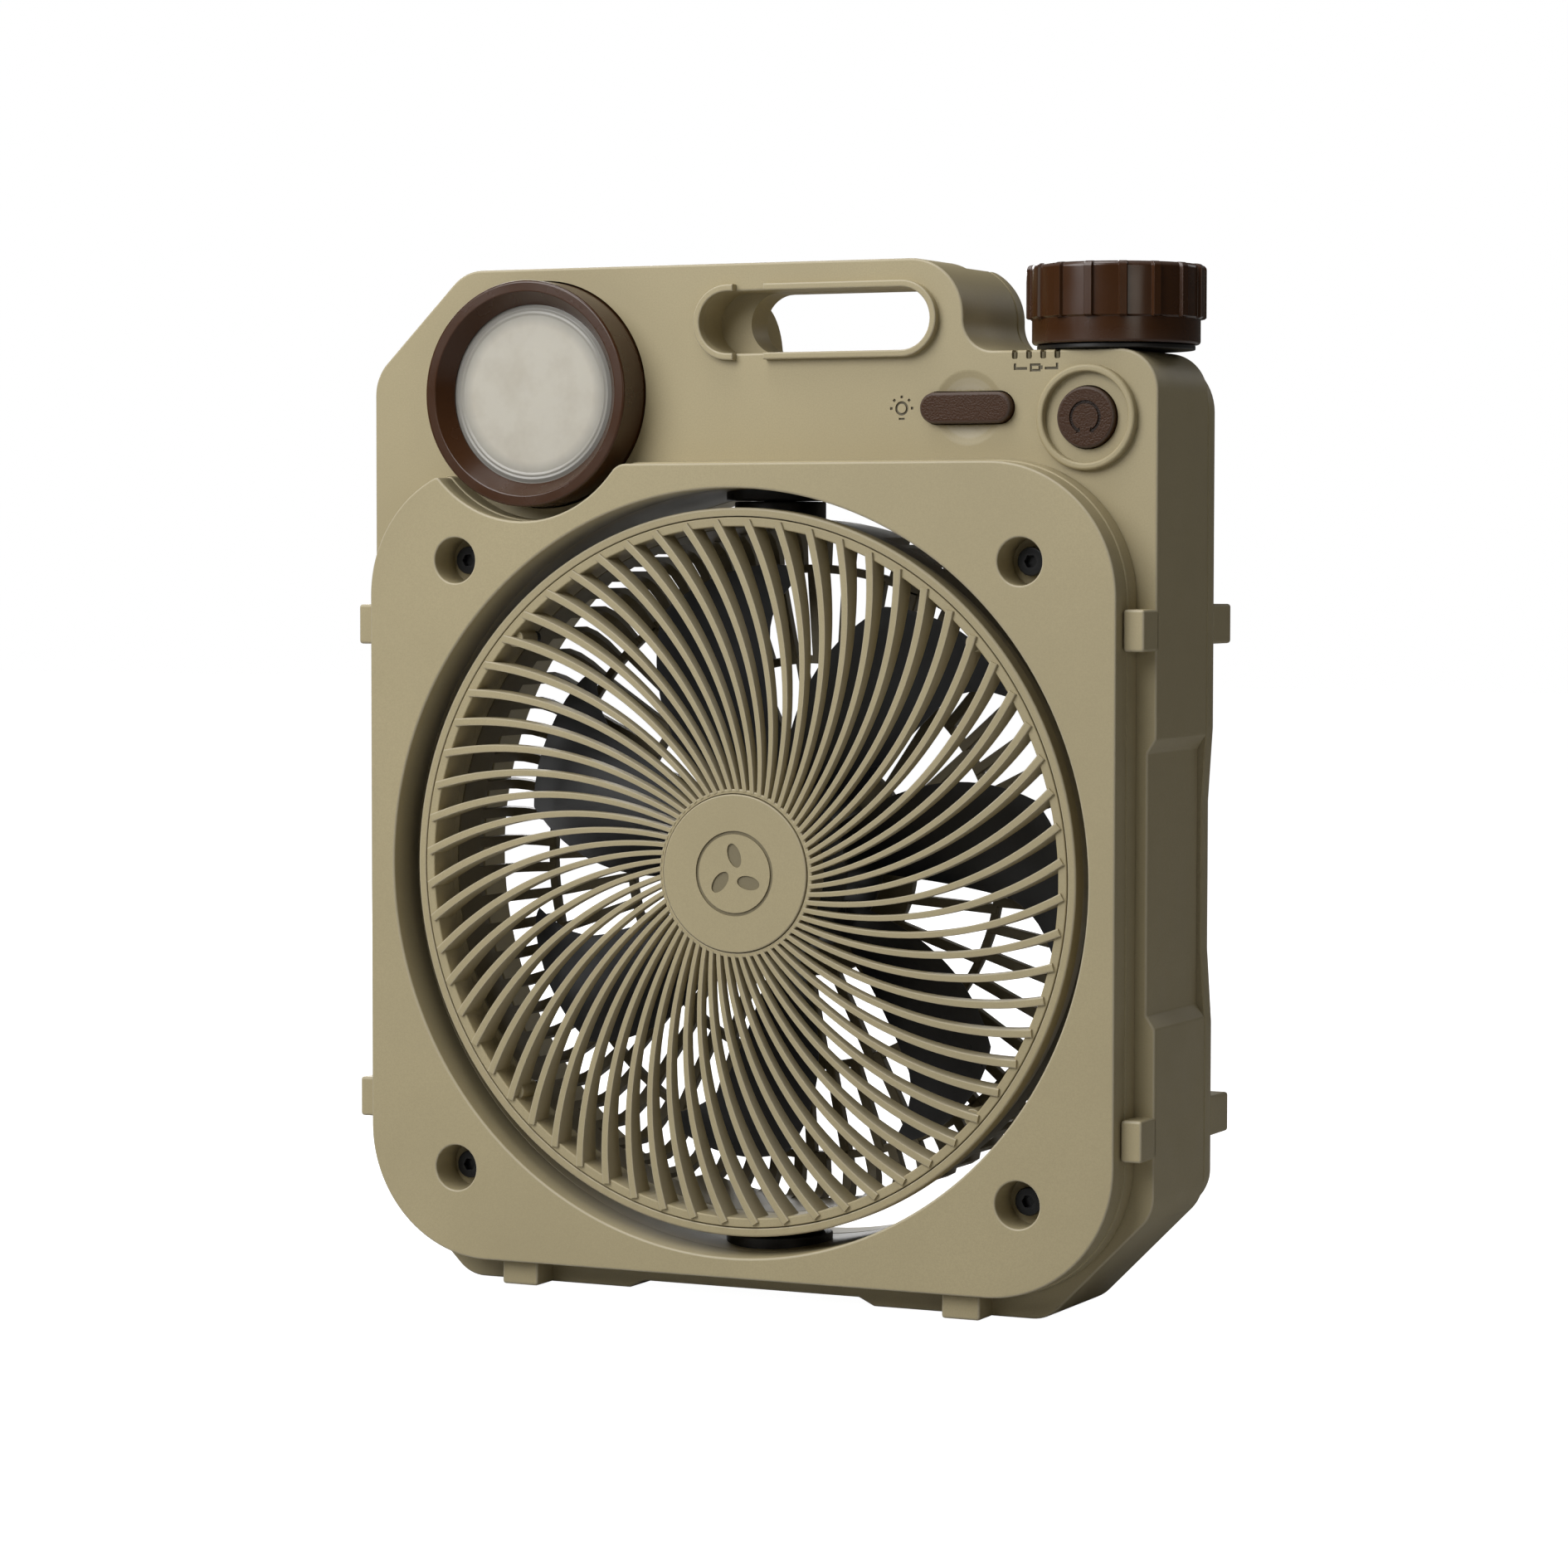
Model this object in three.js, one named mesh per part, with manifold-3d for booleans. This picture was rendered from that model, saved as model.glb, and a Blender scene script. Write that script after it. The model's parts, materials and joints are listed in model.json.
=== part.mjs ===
// Portable box fan: a jerrycan-shaped housing with a round opening, a fan head that swings in the opening
// on a vertical axis, a lamp, a speed knob and two push buttons.
// Millimetres. +X is to the right of someone facing the fan, +Y is to the back, +Z is up.
import * as THREE from "three";
import { mergeVertices } from "three/addons/utils/BufferGeometryUtils.js";
import Module from "manifold-3d";

const wasm = await Module();
wasm.setup();

// ---------- driving dimensions, measured from the centre of the opening on the front panel's face ----------
const GAP = 0.3; // between neighbouring pieces
const WALL = 2.6; // moulded wall thickness
const SIDES = 48; // facets of the large circles

const CASE = {
  halfWidth: 130.1,
  bottom: -129,
  top: 182.5,
  shoulder: 154.9, // lower top surface, under the knob
  stepX: 69, // where the top steps down to the shoulder
  front: 15,
  back: 56.8, // end of the main housing and start of the rear cover
  rear: 71.7, // rear cover's outside face
  topChamfer: 32.1,
  baseChamfer: 33.1,
};
// The shallow step in each side of the housing and of the rear cover, and what more the cover's corners lose.
const SIDE = {
  housing: { edge: 42, flat: 38, depth: 2.6, cornerCut: 0 },
  cover: { edge: 44, flat: 22, depth: 1.4, cornerCut: 2.4 },
};
const OPENING_R = 115;
const PANEL = { halfWidth: 123.3, bottom: -121.3, top: 122.5, cornerR: 40, back: CASE.front - GAP };
const SCREW = {
  at: 93.4,
  recessR: 7,
  recessDepth: 12.4,
  rearRecessR: 5,
  holeR: 2.8,
  shankR: 2.4,
  headR: 4.25,
  headHeight: 3.6,
};
const LUG = { at: 73.6, half: 6.1, front: 4.7, back: 77.7, depth: 6.5, rearBelow: 4.7, rearAbove: 7.1 };
const SLOT = { x: 21.6, z: 164.8, halfLength: 37.8, halfHeight: 9.3, lip: 2, proud: 2.7, back: 28 };
const HANDLE = { left: -6.1, back: 39 }; // the short slot behind SLOT.back, and the end of the bar
const LAMP = { x: -70, z: 144, radius: 34.3, front: 1.5, lensR: 28.5, back: 26 };
const AXIS_Y = 35.85; // depth of the swing axis, half way through the case
const KNOB = { x: 109, y: AXIS_Y, gripR: 25.3, ribR: 26.4, skirtR: 24.7, gripZ: 164.3, topZ: 180 };
const KNOB_RIBS = { count: 16, halfAngle: 0.05 };
const LIGHT = { x: 70.8, z: 138.3, halfLength: 14.5, halfHeight: 4.6, front: 12, dishR: 11.35 };
const SWING = { x: 108.5, z: 135.1, radius: 8.95, front: 12.6, collarR: 15.3, collarFront: 12.3 };
const TRAVEL = 1.2; // of both push buttons
const SWITCH_FRONT = 22.2; // the plungers that the two buttons press
const NOTCHES = [85.5, 89.95, 94.4, 98.85]; // X of the four charge light windows
const PORT = { x: 96, z: 136, plugHalfWidth: 5, plugHalfHeight: 2.1 };
const CELL = { radius: 9.15, length: 65, x: -66, y: 44, zs: [128.6, 147.2, 165.8] };

const HEAD = { front: 5.2, rimR: 109.3, seamR: 106.6, ringR: 103.65, back: 61.5, wallR: 106.4 };
const RIBS = { count: 64, front: 4.3, back: 13, width: 2, startR: 24.6, endR: 105.2 };
const RIB_ARC = { radius: 114.9, centreR: 111.4 }; // a rib's circle, and how far its centre is from the hub's
const HUB = { ringR: 25.2, capR: 23.8 };
const REAR = { bars: 24, barWidth: 2.6, plate: 58, hubR: 35, rings: [62, 90], wallStart: 20.3, wallEnd: 34 };
const BLADES = { count: 7, hubR: 27, tipR: 93, midY: 40, thickness: 1.9 };
const SHAFT_R = 1.6;
const BEARING_R = 4;
const PIVOT = { bushR: 16.35, bossR: 13.9, pinR: 5, face: 111.6, bushEnd: 119.4 };
const GEAR = { module: 1.5, wheelTeeth: 20, pinionTeeth: 10, z: 120.4, height: 4 };
const MOTOR = { radius: 22, front: 31.5, back: 57.7 };

const fourCorners = [
  [-1, 1],
  [1, 1],
  [-1, -1],
  [1, -1],
];
// The screw posts that join the front and the rear of the head.
const grillePosts = fourCorners.map(([sx, sz]) => [sx * 76.2, sz * 69.6]);

// ---------- materials ----------
const finish = (color, roughness, metalness = 0, extra = {}) =>
  new THREE.MeshStandardMaterial({ color, roughness, metalness, ...extra });
const khaki = () => finish(0xb3a988, 0.55);
const brown = () => finish(0x4a3328, 0.6);
const black = () => finish(0x1c1b19, 0.5);
const charcoal = () => finish(0x3a3b3e, 0.35);
const clear = () => finish(0xe8e2d2, 0.15, 0, { transparent: true, opacity: 0.5 });
const white = () => finish(0xf0eee6, 0.3);
const steel = () => finish(0x9a9a98, 0.3, 1);
const brass = () => finish(0xb08d4a, 0.35, 1);
const green = () => finish(0x1f5a3a, 0.6);
const blue = () => finish(0x2f5d8a, 0.4);

// ---------- solids ----------
function solid(geometry) {
  const bare = geometry.clone();
  bare.deleteAttribute("normal");
  bare.deleteAttribute("uv");
  const merged = mergeVertices(bare, 1e-4);
  return new wasm.Manifold(
    new wasm.Mesh({
      numProp: 3,
      vertProperties: new Float32Array(merged.attributes.position.array),
      triVerts: new Uint32Array(merged.index.array),
    }),
  );
}

const join = (first, ...rest) => rest.flat().reduce((sum, piece) => sum.add(piece), first);
const cut = (first, ...rest) => rest.flat().reduce((sum, piece) => sum.subtract(piece), first);

function mesh(name, shape, material) {
  const made = shape.getMesh();
  const geometry = new THREE.BufferGeometry()
    .setAttribute("position", new THREE.BufferAttribute(made.vertProperties, 3))
    .setIndex(new THREE.BufferAttribute(made.triVerts, 1));
  geometry.computeVertexNormals();
  const result = new THREE.Mesh(geometry, material);
  result.name = name;
  return result;
}

// A shape drawn in X and Z, extruded along Y.
const plate = (shape, y0, y1) =>
  solid(
    new THREE.ExtrudeGeometry(shape, { depth: y1 - y0, bevelEnabled: false, curveSegments: 5 })
      .rotateX(Math.PI / 2)
      .translate(0, y1, 0),
  );
// A shape drawn in X and Y, extruded along Z.
const slab = (shape, z0, z1) =>
  solid(new THREE.ExtrudeGeometry(shape, { depth: z1 - z0, bevelEnabled: false }).translate(0, 0, z0));
const block = (x0, x1, y0, y1, z0, z1) =>
  solid(
    new THREE.BoxGeometry(x1 - x0, y1 - y0, z1 - z0).translate((x0 + x1) / 2, (y0 + y1) / 2, (z0 + z1) / 2),
  );
// A cylinder along Y, and one along Z.
const drum = (x, z, radius, y0, y1, sides = 16) =>
  solid(new THREE.CylinderGeometry(radius, radius, y1 - y0, sides).translate(x, (y0 + y1) / 2, z));
const post = (x, y, radius, z0, z1, sides = 16) =>
  solid(
    new THREE.CylinderGeometry(radius, radius, z1 - z0, sides)
      .rotateX(Math.PI / 2)
      .translate(x, y, (z0 + z1) / 2),
  );
// A closed profile of [radius, height] points turned about the Y axis; the points run anticlockwise.
const lathe = (profile, sides) =>
  new THREE.LatheGeometry([...profile, profile[0]].map(([r, h]) => new THREE.Vector2(r, h)), sides);
const turned = (sides, profile, x = 0, z = 0) => solid(lathe(profile, sides).translate(x, 0, z));

// ---------- outlines ----------
const polar = (radius, angle) => [radius * Math.cos(angle), radius * Math.sin(angle)];

// Corner points [x, y, fillet radius] in anticlockwise order, as a shape with round corners.
function rounded(corners) {
  const points = [];
  corners.forEach(([x, y, radius], i) => {
    const corner = new THREE.Vector2(x, y);
    const [before, after] = [corners.at(i - 1), corners[(i + 1) % corners.length]].map(([px, py]) =>
      new THREE.Vector2(px, py).sub(corner).normalize(),
    );
    const half = before.angleTo(after) / 2;
    const reach = radius / Math.tan(half);
    const centre = before.clone().add(after).setLength(radius / Math.sin(half)).add(corner);
    const start = before.clone().multiplyScalar(reach).add(corner).sub(centre);
    const sweep = Math.sign(after.cross(before)) * (Math.PI - 2 * half);
    const steps = Math.ceil(Math.abs(sweep) / (radius < 3 ? Math.PI : 0.5));
    for (let k = 0; k <= steps; k++) {
      points.push(start.clone().rotateAround(new THREE.Vector2(), (sweep * k) / steps).add(centre));
    }
  });
  return new THREE.Shape(points);
}

// The same corners with every side moved inwards.
function inset(corners, distance) {
  const side = (i) => {
    const [ax, ay] = corners.at(i);
    const [bx, by] = corners[(i + 1) % corners.length];
    const along = new THREE.Vector2(bx - ax, by - ay).normalize();
    const normal = new THREE.Vector2(-along.y, along.x);
    return { point: new THREE.Vector2(ax, ay).addScaledVector(normal, distance), along };
  };
  return corners.map(([, , radius], i) => {
    const before = side(i - 1);
    const after = side(i);
    const turn = before.along.cross(after.along);
    const step = after.point.clone().sub(before.point).cross(after.along) / turn;
    const { x, y } = before.point.clone().addScaledVector(before.along, step);
    return [x, y, Math.max(radius - Math.sign(turn) * distance, 0.5)];
  });
}

function stadium(x, z, halfLength, halfHeight) {
  const [left, right] = [x - halfLength + halfHeight, x + halfLength - halfHeight];
  const shape = new THREE.Shape();
  shape.absarc(right, z, halfHeight, -Math.PI / 2, Math.PI / 2);
  shape.absarc(left, z, halfHeight, Math.PI / 2, (3 * Math.PI) / 2);
  return shape;
}

function caseCorners({ edge, flat, depth, cornerCut }) {
  const { halfWidth: w, bottom, top, shoulder, stepX } = CASE;
  const topChamfer = CASE.topChamfer + cornerCut;
  const baseChamfer = CASE.baseChamfer + cornerCut;
  const base = { edge: 41, flat: 36, deep: bottom + 2.4 };
  const softened = 1.5;
  const rightSide = [
    [w, -edge, softened],
    [w - depth, -flat, softened],
    [w - depth, flat, softened],
    [w, edge, softened],
  ];
  return [
    [-base.edge, bottom, softened],
    [-base.flat, base.deep, softened],
    [base.flat, base.deep, softened],
    [base.edge, bottom, softened],
    [w - baseChamfer, bottom, 12],
    [w, bottom + baseChamfer, 12],
    ...rightSide,
    [w, shoulder, 12.5 + 2 * cornerCut],
    [stepX, shoulder, 9.5],
    [stepX, top, 17],
    [-w + topChamfer, top, 14],
    [-w, top - topChamfer, 14],
    ...rightSide.map(([x, z, r]) => [-x, z, r]).reverse(),
    [-w, bottom + baseChamfer, 12],
    [-w + baseChamfer, bottom, 12],
  ];
}

const panelCorners = () => {
  const { halfWidth: w, bottom, top, cornerR } = PANEL;
  return [
    [-w, bottom, cornerR],
    [w, bottom, cornerR],
    [w, top, cornerR],
    [-w, top, cornerR],
  ];
};


// ---------- case ----------
function frontPanel() {
  const { at, recessR, recessDepth, holeR } = SCREW;
  const scoopR = 38.7;
  const bosses = fourCorners.map(([sx, sz]) => drum(sx * at, sz * at, recessR + 2.2, 0, 16));
  const hollow = cut(
    plate(rounded(inset(panelCorners(), WALL)), WALL, PANEL.back + 1),
    drum(0, 0, OPENING_R + 2.4, 0, 16, SIDES),
    drum(LAMP.x, LAMP.z, scoopR + WALL, 0, 16, 32),
    bosses,
  );
  return cut(
    plate(rounded(panelCorners()), 0, PANEL.back),
    hollow,
    drum(0, 0, OPENING_R, -1, 16, SIDES),
    drum(LAMP.x, LAMP.z, scoopR, -1, 16, 32),
    fourCorners.map(([sx, sz]) => drum(sx * at, sz * at, recessR, -1, recessDepth)),
    fourCorners.map(([sx, sz]) => drum(sx * at, sz * at, holeR, 0, 16, 12)),
  );
}

// Two lugs on each side of the case and two below it, flush with its outside, from depth y0 to y1. The side
// lugs reach that far below and above their middle.
function lugs(y0, y1, below, above) {
  const half = LUG.half;
  const { halfWidth: w, bottom } = CASE;
  const flanks = fourCorners.map(([sx, sz]) => {
    const z = sz * LUG.at;
    const [near, far] = [sx * (w - LUG.depth), sx * w];
    return block(Math.min(near, far), Math.max(near, far), y0, y1, z - below, z + above);
  });
  const feet = [-1, 1].map((sx) =>
    block(sx * LUG.at - half, sx * LUG.at + half, y0, y1, bottom, bottom + LUG.depth + 0.9),
  );
  return [...flanks, ...feet];
}


const grip = (extra) => stadium(SLOT.x, SLOT.z, SLOT.halfLength + extra, SLOT.halfHeight + extra);
// The room for the fingers behind the handle, made larger all round by extra.
function fingerRoom(extra) {
  const right = SLOT.x + SLOT.halfLength;
  const floor = SLOT.z - SLOT.halfHeight;
  const top = CASE.top + 5;
  return block(HANDLE.left - extra, right + extra, HANDLE.back - extra, LUG.back + 5, floor - extra, top);
}

function mainHousing() {
  const { front, back, shoulder } = CASE;
  const { lip, proud } = SLOT;
  const right = SLOT.x + SLOT.halfLength;
  const shortSlot = stadium((HANDLE.left + right) / 2, SLOT.z, (right - HANDLE.left) / 2, SLOT.halfHeight);
  const screwPosts = fourCorners.map(([sx, sz]) => drum(sx * SCREW.at, sz * SCREW.at, 6.5, front, back));
  const cavity = cut(
    plate(rounded(inset(caseCorners(SIDE.housing), WALL)), front + WALL, back + 1),
    drum(0, 0, OPENING_R + 2.4, front, back + 2, SIDES),
    plate(grip(2.4), front, SLOT.back + WALL),
    plate(grip(0), front, HANDLE.back),
    fingerRoom(WALL),
    screwPosts,
  );
  const collar = drum(SWING.x, SWING.z, SWING.collarR, SWING.collarFront, front + WALL, 28);
  const dish = new THREE.CylinderGeometry(6, LIGHT.dishR, 1.2, 28).translate(LIGHT.x, front + 0.59, LIGHT.z);
  const outside = join(
    plate(rounded(caseCorners(SIDE.housing)), front, back),
    plate(grip(lip), front - proud, front + 1),
    lugs(LUG.front, front + 1, LUG.half, LUG.half),
    collar,
  );
  const flangeRoom = 20;
  return cut(
    outside,
    cavity,
    drum(0, 0, OPENING_R, front - 12, back + 1, SIDES),
    plate(grip(0), front - 5, SLOT.back),
    plate(shortSlot, SLOT.back - 1, HANDLE.back + 1),
    fingerRoom(0),
    block(SLOT.x - 26.6, SLOT.x - 16.6, front - 5, front - 1, SLOT.z - 14, SLOT.z + 14),
    drum(LAMP.x, LAMP.z, LAMP.radius + GAP * 2, front - 5, flangeRoom, 32),
    solid(dish),
    plate(stadium(LIGHT.x, LIGHT.z, LIGHT.halfLength + GAP, LIGHT.halfHeight + GAP), front - 5, flangeRoom),
    drum(SWING.x, SWING.z, SWING.collarR - 2, front - 5, front, 28),
    drum(SWING.x, SWING.z, SWING.radius + GAP, front - 5, flangeRoom, 24),
    post(KNOB.x, KNOB.y, 4, shoulder - 4, shoulder + 2),
    [-1, 1].map((s) => post(0, AXIS_Y, PIVOT.bushR + GAP, s * 115.5 - 5, s * 115.5 + 5, 32)),
    fourCorners.map(([sx, sz]) => drum(sx * SCREW.at, sz * SCREW.at, SCREW.holeR, front - 1, back + 1, 12)),
    NOTCHES.map((x) => block(x - 0.75, x + 0.75, front - 1, front + 3, shoulder - 3.4, shoulder + 1)),
  );
}

function rearCover() {
  const { back, rear } = CASE;
  const { at, rearRecessR, holeR } = SCREW;
  const start = back + GAP;
  const round = 9; // edge rounding, in one step
  const stepBack = 0.6 * round;
  const outside = join(
    plate(rounded(caseCorners(SIDE.cover)), start, rear - stepBack),
    plate(rounded(inset(caseCorners(SIDE.cover), 0.4 * round)), rear - stepBack - 1, rear),
    lugs(rear - 14, LUG.back, LUG.rearBelow, LUG.rearAbove),
  );
  const screwPosts = fourCorners.map(([sx, sz]) => drum(sx * at, sz * at, 7.5, start, rear));
  const cavity = cut(
    plate(rounded(inset(caseCorners(SIDE.cover), round)), start - 1, rear - WALL),
    drum(0, 0, OPENING_R + 2.4, start - 2, rear, SIDES),
    fingerRoom(WALL),
    screwPosts,
  );
  return cut(
    outside,
    cavity,
    drum(0, 0, OPENING_R, start - 2, rear + 8, SIDES),
    fingerRoom(0),
    fourCorners.map(([sx, sz]) => drum(sx * at, sz * at, rearRecessR, rear - 5, rear + 1, 16)),
    fourCorners.map(([sx, sz]) => drum(sx * at, sz * at, holeR, start - 1, rear, 12)),
    block(
      PORT.x - PORT.plugHalfWidth,
      PORT.x + PORT.plugHalfWidth,
      rear - 5,
      rear + 1,
      PORT.z - PORT.plugHalfHeight,
      PORT.z + PORT.plugHalfHeight,
    ),
  );
}

// A socket cap screw pointing backwards (+1) or forwards (-1), with its head's face at y.
function capScrew(x, z, y, direction, headR, headHeight, shankR, length) {
  const span = (from, to) => [Math.min(from, to), Math.max(from, to)];
  const head = drum(x, z, headR, ...span(y, y + direction * headHeight), 14);
  const shank = drum(x, z, shankR, ...span(y + direction * headHeight * 0.5, y + direction * length), 8);
  const socket = drum(x, z, headR * 0.5, ...span(y - direction, y + direction * headHeight * 0.55), 6);
  return cut(join(head, shank), socket);
}

// ---------- lamp ----------
const lampBezel = () =>
  turned(
    28,
    [
      [26.8, LAMP.back],
      [26.8, 10],
      [LAMP.lensR + GAP, 10],
      [LAMP.lensR + GAP, 6.5],
      [32.6, LAMP.front],
      [33.5, LAMP.front],
      [LAMP.radius, LAMP.front + 1],
      [LAMP.radius, LAMP.back],
    ],
    LAMP.x,
    LAMP.z,
  );
const lampReflector = () =>
  turned(
    24,
    [
      [8, 24],
      [26.3, 10.3],
      [26.3, 12],
      [9.2, 24.9],
    ],
    LAMP.x,
    LAMP.z,
  );

// ---------- controls ----------
function knobGrip() {
  const { gripR, ribR } = KNOB;
  const { count, halfAngle } = KNOB_RIBS;
  const points = [];
  for (let i = 0; i < count; i++) {
    const angle = (2 * Math.PI * i) / count;
    points.push(polar(gripR, angle - halfAngle * 1.5), polar(ribR, angle - halfAngle));
    points.push(polar(ribR, angle + halfAngle), polar(gripR, angle + halfAngle * 1.5));
    points.push(polar(gripR, angle + Math.PI / count));
  }
  return new THREE.Shape(points.map(([x, y]) => new THREE.Vector2(KNOB.x + x, KNOB.y + y)));
}

function speedKnob() {
  const { x, y, gripR, skirtR, gripZ, topZ } = KNOB;
  return cut(
    join(
      slab(knobGrip(), gripZ, topZ - 1.3),
      post(x, y, skirtR, 156.8, gripZ + 1, 32),
      post(x, y, gripR - 1.2, topZ - 2, topZ, 32),
    ),
    post(x, y, 3.3, 155, 170.3, 16),
  );
}

// A push button: a cap of the given outline, a wider flange behind the wall and a stem that meets the switch.
const pushButton = (outline, flange, x, z, front) =>
  join(
    plate(outline, front, CASE.front + WALL + 0.5),
    plate(flange, CASE.front + WALL + GAP, CASE.front + WALL + 1.8),
    drum(x, z, 1.5, CASE.front + WALL + 1, SWITCH_FRONT - TRAVEL - 0.2, 12),
  );
const circle = (x, z, radius) => {
  const shape = new THREE.Shape();
  shape.absarc(x, z, radius, 0, 2 * Math.PI);
  return shape;
};
const tactSwitch = (x, z) =>
  join(
    block(x - 3, x + 3, SWITCH_FRONT + 0.4, 25.5, z - 3, z + 3),
    drum(x, z, 1.6, SWITCH_FRONT, SWITCH_FRONT + 1, 12),
  );

// ---------- pivots and swing drive ----------
const pivotBush = (side) => {
  const [low, high] = [PIVOT.face, PIVOT.bushEnd].map((z) => side * z).sort((a, b) => a - b);
  return cut(
    post(0, AXIS_Y, PIVOT.bushR, low, high, 24),
    post(0, AXIS_Y, PIVOT.pinR + 0.09, low - 1, high + 1, 24),
  );
};
function trunnion(side, pinEnd) {
  const sorted = (...ends) => ends.map((z) => side * z).sort((a, b) => a - b);
  return join(
    post(0, AXIS_Y, PIVOT.bossR, ...sorted(HEAD.wallR + GAP, PIVOT.face - GAP), 24),
    post(0, AXIS_Y, PIVOT.pinR, ...sorted(PIVOT.face - 1, pinEnd), 24),
  );
}

// A spur gear with straight-sided teeth, the first tooth or space on the +X axis of its own centre.
function gear(x, teeth, boreR, startAngle) {
  const pitchR = (GEAR.module * teeth) / 2;
  const [tipR, rootR] = [pitchR + 0.85 * GEAR.module, pitchR - 1.15 * GEAR.module];
  const pitch = (2 * Math.PI) / teeth;
  const points = [];
  for (let i = 0; i < teeth; i++) {
    const angle = startAngle + i * pitch;
    points.push(polar(rootR, angle - 0.3 * pitch), polar(tipR, angle - 0.1 * pitch));
    points.push(polar(tipR, angle + 0.1 * pitch), polar(rootR, angle + 0.3 * pitch));
  }
  const shape = new THREE.Shape(points.map(([px, py]) => new THREE.Vector2(x + px, AXIS_Y + py)));
  return cut(
    slab(shape, GEAR.z, GEAR.z + GEAR.height),
    post(x, AXIS_Y, boreR, GEAR.z - 1, GEAR.z + GEAR.height + 1, 16),
  );
}
const pinionX = (GEAR.module * (GEAR.wheelTeeth + GEAR.pinionTeeth)) / 2;

// ---------- fan head ----------
// One spiral rib: a strip along an arc that leaves the hub at startAngle.
function ribShape(startAngle) {
  const { startR, endR, width } = RIBS;
  const arcR = RIB_ARC.radius;
  const centreR = RIB_ARC.centreR;
  const centre = polar(centreR, startAngle + Math.PI / 2);
  const angleAt = (distance) => {
    const cosine = (arcR ** 2 + centreR ** 2 - distance ** 2) / (2 * arcR * centreR);
    return startAngle - Math.PI / 2 + Math.acos(cosine);
  };
  const steps = 3;
  const [from, to] = [angleAt(startR), angleAt(endR)];
  const edge = (offset) =>
    Array.from({ length: steps + 1 }, (_, i) => {
      const [dx, dz] = polar(arcR + offset, from + ((to - from) * i) / steps);
      return new THREE.Vector2(centre[0] + dx, centre[1] + dz);
    });
  return new THREE.Shape([...edge(width / 2), ...edge(-width / 2).reverse()]);
}

function frontGrille() {
  const { front, ringR, seamR } = HEAD;
  const ring = turned(SIDES, [
    [ringR, 16.6],
    [ringR, front],
    [seamR - 0.15, front],
    [seamR - 0.15, 16.6],
  ]);
  const hub = turned(RIBS.count / 2, [
    [HUB.capR + 0.2, RIBS.front],
    [HUB.ringR, RIBS.front],
    [HUB.ringR, RIBS.back],
    [1, RIBS.back],
    [1, 8],
    [HUB.capR + 0.2, 8],
  ]);
  const ribs = Array.from({ length: RIBS.count }, (_, i) =>
    plate(ribShape((2 * Math.PI * i) / RIBS.count), RIBS.front, RIBS.back),
  );
  const posts = grillePosts.map(([x, z]) => drum(x, z, 2.7, 7, 16.6, 12));
  const pilots = grillePosts.map(([x, z]) => drum(x, z, 1.2, 10, 18, 8));
  return cut(join(ring, hub, ribs, posts), pilots);
}

// A generic three-blade fan mark, sunk in the hub cap.
function hubCap() {
  const face = drum(0, 0, HUB.capR, 3.9, 7.7, 32);
  const petals = [0, 1, 2].map((i) => {
    const [x, z] = polar(4.6, Math.PI / 2 + (i * 2 * Math.PI) / 3);
    return drum(x, z, 3.1, 3, 4.5, 12);
  });
  return cut(face, petals);
}

function headRim() {
  const { front, rimR, seamR, wallR } = HEAD;
  const rim = turned(SIDES, [
    [103.8, 20],
    [103.8, 17],
    [seamR + 0.15, 17],
    [seamR + 0.15, front],
    [rimR, front],
    [rimR, 11],
    [wallR + 1, 20],
  ]);
  return cut(rim, grillePosts.map(([x, z]) => drum(x, z, 3, 16, 21, 12)));
}

function rearGrille() {
  const { bars, barWidth, plate: plateY, hubR, rings, wallStart, wallEnd } = REAR;
  const { wallR, back } = HEAD;
  const ringAt = (inner, outer, y0, y1) =>
    turned(bars, [
      [inner, y1],
      [inner, y0],
      [outer, y0],
      [outer, y1],
    ]);
  // Each bar runs back along the drum wall, turns a bevelled corner and runs inwards to the hub.
  const corners = [
    [hubR - 2, plateY],
    [98, plateY],
    [wallR - 2.4, plateY - 5.6],
    [wallR - 2.4, wallStart + 2],
    [wallR - 0.8, wallStart + 2],
    [wallR - 0.8, back - 5],
    [wallR - 5, back],
    [hubR - 2, back],
  ];
  const profile = new THREE.Shape(corners.map(([r, y]) => new THREE.Vector2(r, y)));
  const bar = new THREE.ExtrudeGeometry(profile, { depth: barWidth, bevelEnabled: false });
  bar.translate(0, 0, -barWidth / 2);
  const spokes = Array.from({ length: bars }, (_, i) =>
    solid(bar.clone().rotateY((2 * Math.PI * (i + 0.5)) / bars)),
  );
  const cheek = cut(ringAt(wallR - 2.8, wallR, wallStart, back - 5), block(-120, 120, 0, 80, -100, 100));
  return cut(
    join(
      ringAt(wallR - 2.8, wallR, wallStart, wallEnd),
      ringAt(1, hubR, plateY, back),
      rings.map((r) => ringAt(r - barWidth / 2, r + barWidth / 2, plateY + 0.4, back - 0.4)),
      spokes,
      cheek,
    ),
    [0, 1, 2].map((i) => {
      const [x, z] = polar(14, (i * 2 * Math.PI) / 3 + 0.5);
      return drum(x, z, 1.8, plateY - 1, back + 1, 10);
    }),
    drum(0, 0, 5, plateY - 1, back + 1, 16),
  );
}

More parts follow.
